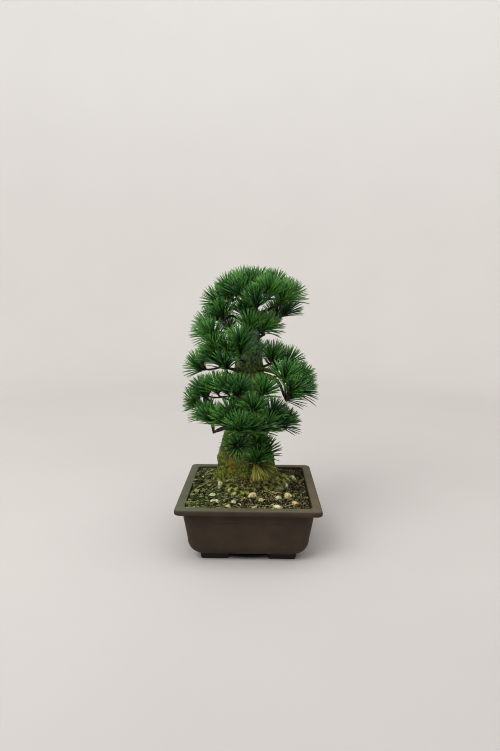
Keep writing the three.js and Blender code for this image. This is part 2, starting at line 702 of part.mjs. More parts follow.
const soilBed = mossColumn(MOSS.bed, GAP);
const soil = largest(reliefBlock(() => 0).intersect(potHollow(-GAP)).subtract(soilBed).subtract(trunkHole));
const mossBlock = mossColumn(MOSS.bed + GAP, 0);
const moss = largest(reliefBlock(mossThickness).intersect(mossBlock).subtract(trunkHole));
const soilCut = reliefBlock(() => GAP);
const mossCut = reliefBlock((x, y, seed) => mossThickness(x, y, seed) + GAP).intersect(mossColumn(0, GAP));

bonsai.add(piece('pot', potSolid(), COLOURS.pot));
bonsai.add(piece('soil', soil, COLOURS.soil));
bonsai.add(piece('moss', moss, COLOURS.moss));
bonsai.add(piece('trunk', trunk, COLOURS.trunk));
STONES.forEach((entry, number) => {
  const rested = largest(stone(entry, number).subtract(soilCut).subtract(mossCut));
  bonsai.add(piece(entry[0], rested, [entry[7], 0.8]));
});
for (const spray of sprays) {
  const colour = spray.withered ? COLOURS.withered : COLOURS.needles;
  bonsai.add(piece(spray.name, spraySolid(spray, shoots, wood), colour));
}

export default bonsai;
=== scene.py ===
"""A five-needle pine trained as a bonsai in a rectangular brown clay pot, dressed around its frame.

Sizes are in millimetres until a mesh is made, with +Z up and the front of the pot towards -Y.
"""

import math
from functools import partial

import bpy
import numpy as np
from mathutils import Matrix, Vector


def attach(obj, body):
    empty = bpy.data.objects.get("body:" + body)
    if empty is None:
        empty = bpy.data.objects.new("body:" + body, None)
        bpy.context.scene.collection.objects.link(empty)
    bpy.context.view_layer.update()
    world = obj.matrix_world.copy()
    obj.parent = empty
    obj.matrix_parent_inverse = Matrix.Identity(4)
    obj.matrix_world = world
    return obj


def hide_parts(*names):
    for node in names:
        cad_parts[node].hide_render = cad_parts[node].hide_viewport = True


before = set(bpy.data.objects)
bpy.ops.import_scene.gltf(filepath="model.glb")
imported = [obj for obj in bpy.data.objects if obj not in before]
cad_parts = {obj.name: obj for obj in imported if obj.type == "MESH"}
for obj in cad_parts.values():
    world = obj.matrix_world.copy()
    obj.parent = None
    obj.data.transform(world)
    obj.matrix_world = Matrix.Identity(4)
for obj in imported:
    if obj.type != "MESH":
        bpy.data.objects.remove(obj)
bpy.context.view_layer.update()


# ---- Pot
# A shallow training pot of dark brown stoneware: press-moulded, fired once and left unglazed. Its wide
# rolled rim overhangs the walls, and the walls turn in roundly to a base on four low corner feet.

POT_WIDTH, POT_DEPTH = 260, 270
WALL_TURN, WALL_TOP = 42, 96  # heights of the straight wall's foot and of the rim's underside
RIM_TOP, RIM_ROUND, RIM_LIP = 107, 4, 3  # the rim's height, and the radii of its outer and inner edge
CORNER, WALL_CORNER = 9, 18  # corner radii of the rim and the inside, and of the walls
WALL_FOOT, INNER_FOOT = 20, 26.5  # insets of that foot from the rim's edge, outside and inside
WALL_SPLAY, WALL_RISE = 7.5, 52  # how far the straight wall leans out, and over what height
TURN_IN = 26  # how far the rounded base runs in under the wall
BASE, FLOOR = 9, 15  # heights of the base's underside and of the floor inside
FEET = {"x": (35, 88), "y": (62, 96), "top": 14}
DRAIN_RADIUS, DRAIN_X = 9, 46
BEAD = {"length": 140, "height": 77.5, "radius": 1.1}


def outline(half_x, half_y, corner, height, steps=10, straight=8):
    """Level rectangles with round corners, one for each row of sizes. A corner is a quarter circle,
    centre + r (cos a, sin a), and evenly spaced points fill the straight sides between corners."""
    half_x, half_y, corner, height = (
        np.ravel(row)[:, None, None] for row in np.broadcast_arrays(half_x, half_y, corner, height)
    )
    turn = np.radians(np.add.outer([0, 90, 180, 270], np.linspace(0, 90, steps + 1)))
    right, back = np.array([1, -1, -1, 1])[:, None], np.array([1, 1, -1, -1])[:, None]
    x = right * (half_x - corner) + corner * np.cos(turn)
    y = back * (half_y - corner) + corner * np.sin(turn)
    bends = np.stack([x, y, x * 0 + height], -1)
    share = np.linspace(0, 1, straight + 2)[1:-1, None]
    starts, ends = bends[:, :, -1:], np.roll(bends, -1, axis=1)[:, :, :1]
    sides = starts * (1 - share) + ends * share
    return np.concatenate([bends, sides], 2).reshape(len(bends), -1, 3)


def skin(rings):
    """Points and faces over rings of equal length that turn anticlockwise about their progress: a quad
    between each four neighbours, and one flat face over each end."""
    count, around = rings.shape[:2]
    spot = np.arange(around)
    beside = np.roll(spot, -1)
    row = np.arange(count - 1)[:, None] * around
    quads = np.stack([row + spot, row + beside, row + around + beside, row + around + spot], -1)
    ends = np.array([spot[::-1], spot + (count - 1) * around])
    return rings.reshape(-1, 3), [quads.reshape(-1, 4), ends]


def joined(*parts):
    """Several skins as one: a part's face numbers are raised by the count of the points before it."""
    starts = np.cumsum([0] + [len(points) for points, _ in parts[:-1]])
    faces = [face + start for (_, group), start in zip(parts, starts) for face in group]
    return np.concatenate([points for points, _ in parts]), faces


def unit(vectors):
    """The vectors at length one."""
    return vectors / np.linalg.norm(vectors, axis=-1, keepdims=True)


def full_turn(count):
    """Evenly spaced angles once round."""
    return np.linspace(0, 2 * np.pi, count, endpoint=False)


def eased(t):
    """3t^2 - 2t^3, which leaves 0 and reaches 1 level."""
    return t * t * (3 - 2 * t)


def tube_rings(paths, radii, sides):
    """Rings round paths, p + r (cos a side + sin a across). Side is the normal of the plane in which a
    path bends, made square to the path at each point, and across is square to both."""
    along = unit(np.gradient(paths, axis=-2))
    bend = np.cross(along[..., 0, :], along[..., -1, :])
    spare = np.cross(along[..., 0, :], np.array([0.36, 0.48, 0.8]))
    bend = unit(np.where(np.linalg.norm(bend, axis=-1, keepdims=True) < 1e-3, spare, bend))[..., None, :]
    side = unit(bend - (bend * along).sum(-1, keepdims=True) * along)
    across = np.cross(along, side)
    angle = full_turn(sides)[:, None]
    round_it = np.cos(angle) * side[..., None, :] + np.sin(angle) * across[..., None, :]
    return paths[..., None, :] + np.asarray(radii)[..., None, None] * round_it


def lumps(points, size, seed=0):
    """Smooth noise from -1 to 1: a repeatable random height on each corner of a lattice of the given
    spacing, blended between the eight corners with 3t^2 - 2t^3 along each axis."""
    place = np.asarray(points) / size + 31.7 * seed
    cell = np.floor(place)
    part = eased(place - cell)
    total = 0
    for corner in np.ndindex(2, 2, 2):
        wave = np.sin((cell + corner) @ np.array([12.9898, 78.233, 37.719])) * 43758.5453
        weight = np.prod(np.where(corner, part, 1 - part), -1)
        total = total + weight * (2 * (wave - np.floor(wave)) - 1)
    return total


def make_mesh(name, points, faces, smooth=True, **values):
    """A mesh of computed points, in millimetres, and face arrays. Each of values is one number for
    every point, kept as an attribute for the materials."""
    mesh = bpy.data.meshes.new(name)
    mesh.vertices.add(len(points))
    mesh.vertices.foreach_set("co", np.asarray(points / 1000, np.float32).ravel())
    sizes = np.concatenate([np.full(len(group), group.shape[1]) for group in faces])
    corners = np.concatenate([group.ravel() for group in faces]).astype(np.int32)
    mesh.loops.add(len(corners))
    mesh.loops.foreach_set("vertex_index", corners)
    mesh.polygons.add(len(sizes))
    mesh.polygons.foreach_set("loop_start", (np.cumsum(sizes) - sizes).astype(np.int32))
    mesh.polygons.foreach_set("use_smooth", np.full(len(sizes), smooth))
    for key, numbers in values.items():
        spread = np.asarray(np.broadcast_to(numbers, len(points)), np.float32)
        mesh.attributes.new(key, "FLOAT", "POINT").data.foreach_set("value", spread)
    mesh.update(calc_edges=True)
    return mesh


def place_piece(mesh, finish, slot, *stands_for):
    """The mesh as a piece of the object: it rides on the root body, takes the given finish, and stands for
    the named CAD nodes. The slot is not used."""
    piece = bpy.data.objects.new(mesh.name, mesh)
    bpy.context.scene.collection.objects.link(piece)
    mesh.materials.clear()
    mesh.materials.append(finish)
    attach(piece, "root")
    if stands_for:
        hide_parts(*stands_for)


def shaped(mesh, *tools):
    """The mesh after boolean tools, each a mesh with how it acts: UNION adds it, DIFFERENCE cuts it."""
    worked = bpy.data.objects.new("worked", mesh)
    helpers = [worked]
    bpy.context.scene.collection.objects.link(worked)
    for tool_mesh, action in tools:
        tool = bpy.data.objects.new("tool", tool_mesh)
        bpy.context.scene.collection.objects.link(tool)
        helpers.append(tool)
        cut = worked.modifiers.new("cut", "BOOLEAN")
        cut.operation, cut.object, cut.solver = action, tool, "EXACT"
    finished = worked.evaluated_get(bpy.context.evaluated_depsgraph_get())
    result = bpy.data.meshes.new_from_object(finished)
    for helper in helpers:
        bpy.data.objects.remove(helper)
    return result


def linear(colour):
    """sRGB hex to linear light: c/12.92 below 0.04045, and ((c + 0.055)/1.055)^2.4 above it."""
    c = np.array([int(colour[i:i + 2], 16) for i in (1, 3, 5)]) / 255
    c = np.where(c <= 0.04045, c / 12.92, ((c + 0.055) / 1.055) ** 2.4)
    return (*c.tolist(), 1.0)


def feed(tree, node, inputs):
    """Sets a node's sockets, each to a value, a hex colour, or the output that it is linked to."""
    for key, value in inputs.items():
        if isinstance(value, bpy.types.NodeSocket):
            tree.links.new(value, node.inputs[key])
        else:
            node.inputs[key].default_value = linear(value) if isinstance(value, str) else value


def add(tree, kind, inputs=(), stops=(), out=None, **settings):
    """Adds one node and returns its output: the one named, or else the first in use. Settings are its own
    properties, and stops the places and hex colours of a colour ramp."""
    node = tree.nodes.new("ShaderNode" + kind)
    for key, value in settings.items():
        setattr(node, key, value)
    feed(tree, node, dict(inputs))
    for number, (spot, colour) in enumerate(stops):
        marks = node.color_ramp.elements
        mark = marks[number] if number < 2 else marks.new(spot)
        mark.position, mark.color = spot, linear(colour)
    return node.outputs[out] if out else next(socket for socket in node.outputs if socket.enabled)


def new_finish(name, roughness, shine=0.3):
    """An empty material of that roughness and shine, with what adds its nodes, what feeds its shader, and
    the place on the object in metres."""
    finish = bpy.data.materials.new(name)
    finish.use_nodes = True
    tree = finish.node_tree
    to_shader = partial(feed, tree, tree.nodes["Principled BSDF"])
    to_shader({"Roughness": roughness, "Specular IOR Level": shine})
    return finish, partial(add, tree), to_shader, add(tree, "TexCoord", out="Object")


def per(size):
    """Scale of a noise texture whose features are that many millimetres, on coordinates in metres."""
    return 1000 / size


def pot_profile():
    """Inset from the rim's edge, corner radius and height along a section of the pot, from the middle
    of the base out, up the wall, over the rim, and down inside to the floor. The base turns up as a
    quarter ellipse, and the rim's edges and the hollow under it are quarter circles."""
    turn = np.radians(np.linspace(90, 0, 14))
    quarter = np.radians(np.linspace(0, 90, 7))
    rise = np.linspace(WALL_TURN, WALL_TOP - RIM_ROUND, 6)[1:-1]
    fall = np.linspace(RIM_TOP - RIM_ROUND, WALL_TURN, 7)[1:-1]
    parts = [
        ([84, 60], [30, 24], [BASE, BASE]),
        (WALL_FOOT + TURN_IN * (1 - np.cos(turn)), WALL_CORNER + 0 * turn,
         WALL_TURN - (WALL_TURN - BASE) * np.sin(turn)),
        (WALL_FOOT - WALL_SPLAY * (rise - WALL_TURN) / WALL_RISE,
         WALL_CORNER - (rise - WALL_TURN) / 12, rise),
        (9.1 + RIM_ROUND * np.cos(quarter), 14 - 3 * np.sin(quarter),
         WALL_TOP - RIM_ROUND + RIM_ROUND * np.sin(quarter)),
        (4.2 - 4.2 * np.sin(quarter), CORNER + quarter * 0, WALL_TOP + 4.2 - 4.2 * np.cos(quarter)),
        (RIM_ROUND - RIM_ROUND * np.cos(quarter), CORNER + quarter * 0,
         RIM_TOP - RIM_ROUND + RIM_ROUND * np.sin(quarter)),
        ([8, 12], [CORNER, CORNER], [RIM_TOP + 0.15, RIM_TOP + 0.1]),
        (14.5 + RIM_LIP * np.sin(quarter), CORNER + quarter * 0,
         RIM_TOP - RIM_LIP + RIM_LIP * np.cos(quarter)),
        (INNER_FOOT - 9 * (fall - WALL_TURN) / 60, CORNER + fall * 0, fall),
        (INNER_FOOT + TURN_IN * (1 - np.cos(turn[::-1])), CORNER + 15 * np.sin(turn[::-1]),
         WALL_TURN - (WALL_TURN - FLOOR) * np.sin(turn[::-1])),
        ([70, 90], [30, 36], [FLOOR, FLOOR]),
    ]
    return [np.concatenate([part[column] for part in parts]) for column in range(3)]


inset, corner, height = pot_profile()
rings = outline(POT_WIDTH / 2 - inset, POT_DEPTH / 2 - inset, corner, height)
rings[..., :2] += 0.35 * np.stack([lumps(rings, 60, 1), lumps(rings, 60, 2)], -1)
pot_tools = []
for side_x in (-1, 1):
    for side_y in (-1, 1):
        shrink = np.array([3, 1.9, 1.5, 1.1, 0])
        level = np.array([0, 0.3, 1.2, 5, FEET["top"]])
        half = [(FEET[axis][1] - FEET[axis][0]) / 2 - shrink for axis in "xy"]
        foot = outline(*half, 4 - shrink / 2, level, steps=4, straight=1)
        foot[..., 0] += side_x * sum(FEET["x"]) / 2
        foot[..., 1] += side_y * sum(FEET["y"]) / 2
        pot_tools.append((make_mesh("foot", *skin(foot)), "UNION"))
    bore = outline(DRAIN_RADIUS, DRAIN_RADIUS, DRAIN_RADIUS - 0.01, [0, 20], 8, 0)
    bore[..., 0] += side_x * DRAIN_X
    pot_tools.append((make_mesh("bore", *skin(bore)), "DIFFERENCE"))
pot_mesh = shaped(make_mesh("pot_body", *skin(rings)), *pot_tools)
pot_mesh.name = "clay_pot"

# A thin straight bead, pressed on each wall under the rim, runs out softly at its two ends.
beads = []
along = np.linspace(-0.5, 0.5, 60) * BEAD["length"]
swell = np.clip((0.5 * BEAD["length"] - np.abs(along)) / 12, 0, 1) ** 0.5
for quarter_turn in range(4):
    wall = (POT_DEPTH if quarter_turn % 2 == 0 else POT_WIDTH) / 2
    depth = wall - WALL_FOOT + WALL_SPLAY - WALL_SPLAY * (WALL_TOP - BEAD["height"]) / WALL_RISE - 0.1
    turn = math.pi / 2 * quarter_turn
    path = np.stack([along * math.cos(turn) + depth * math.sin(turn),
                     along * math.sin(turn) - depth * math.cos(turn), 0 * along + BEAD["height"]], -1)
    beads.append(skin(tube_rings(path, BEAD["radius"] * swell + 0.02, 10)))
bead_mesh = make_mesh("clay_wall_beads", *joined(*beads))

# Unglazed stoneware: brown with small iron flecks. It is matt, with a faint even sheen. Water has left a grey
# film of lime and algae on the upward face of the rim.
stoneware, node, to_shader, where = new_finish("unglazed_brown_stoneware", 0.7)
clouds, flecks, drift, grit = (
    node("TexNoise", {"Vector": where, "Scale": per(size), "Detail": detail})
    for size, detail in ((45, 5.0), (2.2, 3.0), (28, 6.0), (1.3, 4.0)))
body = node("ValToRGB", {0: clouds}, [(0.3, "#2a1f15"), (0.7, "#3b2e1f")])
fleck_share = node("MapRange", {"Value": flecks, "From Min": 0.56, "From Max": 0.72, "To Max": 0.45})
flecked = node("Mix", {0: fleck_share, 6: body, 7: "#1d1712"}, data_type="RGBA")
height = node("SeparateXYZ", {0: where}, out="Z")
# Painted shade: below 20 mm the clay darkens towards near black, most on the base's underside and the feet,
# for the shadow under the pot.
painted_base_shade = node("MapRange", {"Value": height, "From Min": 0.02, "From Max": 0.008, "To Max": 0.8})
base_shaded = node("Mix", {0: painted_base_shade, 6: flecked, 7: "#130e0a"}, data_type="RGBA")
on_rim = node("MapRange", {"Value": height, "From Min": 0.103, "From Max": 0.1065})
lean = node("SeparateXYZ", {0: node("NewGeometry", out="Normal")}, out="Z")
upward = node("MapRange", {"Value": lean, "From Min": 0.55, "From Max": 0.95})
film = node("Math", {0: on_rim, 1: upward}, operation="MULTIPLY")
film_depth = node("MapRange", {"Value": drift, "From Min": 0.25, "From Max": 0.55, "To Min": 0.7})
film_share = node("Math", {0: film, 1: film_depth}, operation="MULTIPLY")
across = node("SeparateXYZ", {0: where}, out="X")
hue = node("Math", {0: across, 1: 2.4, 2: drift}, operation="MULTIPLY_ADD")
deposit = node("ValToRGB", {0: hue}, [(0.2, "#515840"), (0.5, "#514d38"), (0.8, "#59503a")])
coloured = node("Mix", {0: film_share, 6: base_shaded, 7: deposit}, data_type="RGBA")
bump = node("Bump", {"Height": grit, "Strength": 0.5, "Distance": 0.0004})
to_shader({"Base Color": coloured, "Normal": bump})
place_piece(pot_mesh, stoneware, "clay", "pot")
place_piece(bead_mesh, stoneware, "clay")


# ---- Soil and grit
# The pot is filled with a free-draining bonsai mix: fired clay, lava and pumice, sifted to 2 to 5 mm,
# dark and damp below, with the loose grains of the last layer lying on it.

MOSS = {"x": -8, "y": 28, "radius_x": 84, "radius_y": 80, "edge": 2.4, "crown": 14}
SOIL_INSET = 18.2  # from the rim's edge to the soil's edge against the inner wall
INSIDE = (POT_WIDTH / 2 - SOIL_INSET, POT_DEPTH / 2 - SOIL_INSET)
SOIL_EDGE, SOIL_RISE = 98, 6  # height of the soil along the wall, and how much higher it is under the moss


def moss_share(x, y):
    """Distance from the middle of the moss, as a share of the way to its edge."""
    return np.hypot((x - MOSS["x"]) / MOSS["radius_x"], (y - MOSS["y"]) / MOSS["radius_y"])


def moss_outline(angle):
    """How far out the moss reaches, as a share of its ellipse: three and seven slow waves."""
    return 1 + 0.06 * np.sin(3 * angle + 1) + 0.05 * np.sin(7 * angle)


def moss_edge_share(x, y):
    """Distance from the middle of the moss, as a share of the way to its wavy edge."""
    turn = np.arctan2((y - MOSS["y"]) / MOSS["radius_y"], (x - MOSS["x"]) / MOSS["radius_x"])
    return moss_share(x, y) / moss_outline(turn)


def soil_height(x, y):
    """The soil is level along the wall, and rises smoothly under the moss."""
    return SOIL_EDGE + SOIL_RISE * (1 - eased(np.clip((moss_share(x, y) - 0.95) / 0.65, 0, 1)))


def wall_bank(x, y):
    """How much higher the last grains lie against the wall: up to 3 mm."""
    near = np.maximum(np.abs(x) / INSIDE[0], np.abs(y) / INSIDE[1])
    return 3.0 * np.clip((near - 0.86) / 0.12, 0, 1)


def repeated(copies, faces):
    """Many copies of one shape as one skin: each copy's points, with the face numbers raised by the count
    of the points before it."""
    starts = np.arange(len(copies))[:, None, None] * copies.shape[1]
    return copies.reshape(-1, 3), [(group + starts).reshape(-1, group.shape[1]) for group in faces]


def strewn(shape, faces, places, frames, sizes, jitter=0.0, seed=0):
    """Copies of a small shape: each is sized, its corners moved in or out at random, turned by its own
    three axes, the rows of its frame, and carried to its place."""
    wobble = 1 + jitter * np.random.default_rng(seed).uniform(-1, 1, (len(places), len(shape), 1))
    return repeated((shape * wobble * sizes[:, None]) @ frames + places[:, None], faces)


def random_frames(count, rng):
    """Right-handed sets of three axes in random directions, from random quaternions."""
    q = rng.normal(size=(count, 4))
    w, x, y, z = (q / np.linalg.norm(q, axis=1, keepdims=True)).T
    rows = [[1 - 2 * (y * y + z * z), 2 * (x * y - w * z), 2 * (x * z + w * y)],
            [2 * (x * y + w * z), 1 - 2 * (x * x + z * z), 2 * (y * z - w * x)],
            [2 * (x * z - w * y), 2 * (y * z + w * x), 1 - 2 * (x * x + y * y)]]
    return np.moveaxis(np.array(rows), -1, 0)


def facing_frames(out, rng):
    """Right-handed axes whose third is the given direction, turned at random about it."""
    out = unit(out)
    first = unit(np.cross(out, rng.normal(size=out.shape)))
    return np.stack([first, np.cross(out, first), out], 1)


def grain_shape():
    """A regular solid of twenty faces: the corners (0, 1, g), turned through the three axes, with g the
    golden ratio."""
    g = (1 + math.sqrt(5)) / 2
    corners = np.array([[-1, g, 0], [1, g, 0], [-1, -g, 0], [1, -g, 0], [0, -1, g], [0, 1, g],
                        [0, -1, -g], [0, 1, -g], [g, 0, -1], [g, 0, 1], [-g, 0, -1], [-g, 0, 1]])
    faces = np.array([[0, 11, 5], [0, 5, 1], [0, 1, 7], [0, 7, 10], [0, 10, 11], [1, 5, 9], [5, 11, 4],
                      [11, 10, 2], [10, 7, 6], [7, 1, 8], [3, 9, 4], [3, 4, 2], [3, 2, 6], [3, 6, 8],
                      [3, 8, 9], [4, 9, 5], [2, 4, 11], [6, 2, 10], [8, 6, 7], [9, 8, 1]])
    return corners / math.hypot(1, g) / 2, [faces]


edge = outline(*INSIDE, CORNER, 0, steps=5, straight=48)[0]
shares = np.concatenate([[0.02], np.linspace(0.3, 1, 56)])
rings = edge * shares[::-1, None, None]
rings[..., 2] = soil_height(rings[..., 0], rings[..., 1]) + wall_bank(rings[..., 0], rings[..., 1]) - 0.8
rings[..., 2] += 0.8 * lumps(rings * (1, 1, 0), 6, 3) + 0.5 * lumps(rings * (1, 1, 0), 2.6, 4)
wall_down = np.linspace(92, WALL_TURN, 4)
turn = np.radians(np.linspace(0, 90, 8))
under_inset = np.concatenate([SOIL_INSET + 9 * (100 - wall_down) / 56,
                              SOIL_INSET + 9 + TURN_IN * (1 - np.cos(turn[1:])), [90]])
under_z = np.concatenate([wall_down, WALL_TURN - (WALL_TURN - FLOOR - 0.6) * np.sin(turn[1:]), [FLOOR + 0.6]])
under = outline(POT_WIDTH / 2 - under_inset, POT_DEPTH / 2 - under_inset, CORNER, under_z, 5, 48)
plug = np.concatenate([under[::-1], rings])
soil_tone = 0.2 + 0.14 * lumps(plug, 5, 5) + 0.1 * lumps(plug, 1.8, 6)
soil_mesh = make_mesh("packed_soil", *skin(plug), tone=soil_tone.ravel())

# Round grains gather in front and on the right. Flakes of bark and broken clay lie between them, and are
# longer and closer on the left and at the back.
rng = np.random.default_rng(11)
GRAIN_STEP = 2.4
spots = np.meshgrid(np.arange(-110, 110, GRAIN_STEP), np.arange(-115, 115, GRAIN_STEP))
spots = np.stack(spots, -1).reshape(-1, 2)
spots = spots + rng.uniform(-0.5, 0.5, spots.shape) * GRAIN_STEP
corner_gap = np.maximum(np.abs(spots) - np.array(INSIDE) + CORNER, 0)
inside = np.hypot(*corner_gap.T) < 7.6
spots = spots[inside & (moss_edge_share(*spots.T) > 1.0 - 0.25 * rng.uniform(0, 1, len(spots)) ** 3)]
flat_share = 0.42 - 0.004 * spots[:, 0] + 0.002 * spots[:, 1]
flaky = rng.uniform(0, 1, len(spots)) < flat_share
length = np.clip(rng.lognormal(np.where(flaky, 1.72, 0.88), 0.42), 1.5, 14)
length = length * np.where(flaky, 1 + 0.5 * np.clip(-spots[:, 0] / 90, 0, 1), 1)
size = length[:, None] * rng.uniform([0.85, 0.7, 0.6], [1.25, 1.1, 0.95], (len(spots), 3))
flake = length[:, None] * rng.uniform([0.9, 0.25, 0.14], [1.2, 0.5, 0.26], (len(spots), 3))
size = np.where(flaky[:, None], flake, size)
lift = np.where(flaky, rng.uniform(0.0, 2.2, len(spots)), rng.uniform(-0.6, 0.5, len(spots)) + 0.18 * length)
spill = 3.2 * np.clip((1 - moss_edge_share(*spots.T)) / 0.1, 0, 1)
grain_place = np.column_stack([spots, soil_height(*spots.T) + wall_bank(*spots.T) + lift + spill])
lying = facing_frames(np.array([0, 0, 1]) + 0.3 * rng.normal(size=(len(spots), 3)), rng)
turned = np.where(flaky[:, None, None], lying, random_frames(len(spots), rng))
grains = strewn(*grain_shape(), grain_place, turned, size, 0.22, 12)
grain_tone = np.where(flaky, rng.uniform(0.2, 0.98, len(spots)), rng.uniform(0, 1, len(spots)))
grain_tone = grain_tone * (1 - 0.14 * np.clip((spots[:, 0] - 30) / 50, 0, 1))
grain_mesh = make_mesh("loose_grit", *grains, smooth=False, tone=np.repeat(grain_tone, 12))

# Damp fired clay, lava and pumice: matt broken stone, from near black to tan, with a few pale grains.
# The tone of each grain is drawn at random, and green algae tint the grains in patches.
grit_finish, node, to_shader, where = new_finish("damp_fired_clay_and_lava_grit", 0.85, 0.12)
tone = node("Attribute", out="Fac", attribute_name="tone")
tint = node("ValToRGB", {0: tone}, [(0.0, "#13130b"), (0.3, "#2c2b1a"), (0.52, "#4e4b30"), (0.74, "#7c764e"),
                                    (0.9, "#b0aa78"), (1.0, "#f0e9ba")])
patch = node("TexNoise", {"Vector": where, "Scale": per(30), "Detail": 4.0})
across = node("SeparateXYZ", {0: where}, out="X")
leftward = node("Math", {0: across, 1: -2.2, 2: patch}, operation="MULTIPLY_ADD")
algae = node("MapRange", {"Value": leftward, "From Min": 0.42, "From Max": 0.62, "To Max": 0.9})
greened = node("Mix", {0: algae, 6: tint, 7: "#b2c8a6"}, data_type="RGBA", blend_type="MULTIPLY")
pores = node("TexNoise", {"Vector": where, "Scale": per(0.9), "Detail": 4.0})
shade = node("MapRange", {"Value": pores, "From Min": 0.3, "From Max": 0.7, "To Min": 0.5})
coloured = node("VectorMath", {0: greened, 3: shade}, operation="SCALE")
bump = node("Bump", {"Height": pores, "Strength": 0.8, "Distance": 0.0005})
to_shader({"Base Color": coloured, "Normal": bump})
place_piece(soil_mesh, grit_finish, "gravel", "soil")
place_piece(grain_mesh, grit_finish, "gravel")


# ---- Trunk and limbs
# The living pine: a thick trunk that flares into buttress roots, tapers to a short leader, and carries
# a stub of a limb for each spray. Its bark is old, cracked into small plates, and mossy near the foot.

# Height, middle in X and Y, radius.
TRUNK_SECTIONS = np.array([
    [62, -8, 38, 30], [96, -8, 38, 38], [107, -8, 38, 62], [120, -8, 38, 60], [136, -8, 37, 56],
    [154, -7, 36, 54], [172, -8, 35, 50], [192, -9, 33, 45], [214, -9, 31, 42], [240, -7, 29, 38],
    [268, -6, 27, 34], [300, -4, 25, 30], [332, -3, 23, 28], [364, -2, 21, 25], [396, 0, 18, 20],
    [424, 2, 15, 13.5], [450, 5, 11, 9.5], [470, 9, 9, 6.5],
])
TRUNK_FLAT = 0.86  # depth over width
ROOT_TOP, ROOT_RISE = 205, 109  # where the buttress roots fade out, and over what height they grow
BARK_SIDES = 16  # the frame's lumps of bark round the trunk
MOSS_TOP, MOSS_RISE = 215, 95  # where the moss on the bark ends, and over what height it closes
LIMB_ROOT, LIMB_TIP = 6, 2.5  # a limb's greatest radius at the trunk, and its radius at the spray
LIMB_STEPS = 31
# Middle, spread and height of each burl.
BURLS = [((-54, 12, 190), (16, 20, 8), 4.5), ((-60, 20, 160), (18, 30, 24), 3.5)]
# Middle and spread of the two ochre stains.
LOW_STAIN, HIGH_STAIN = ((-38, -10, 148), (15, 22, 26)), ((16, -12, 336), (20, 30, 11))

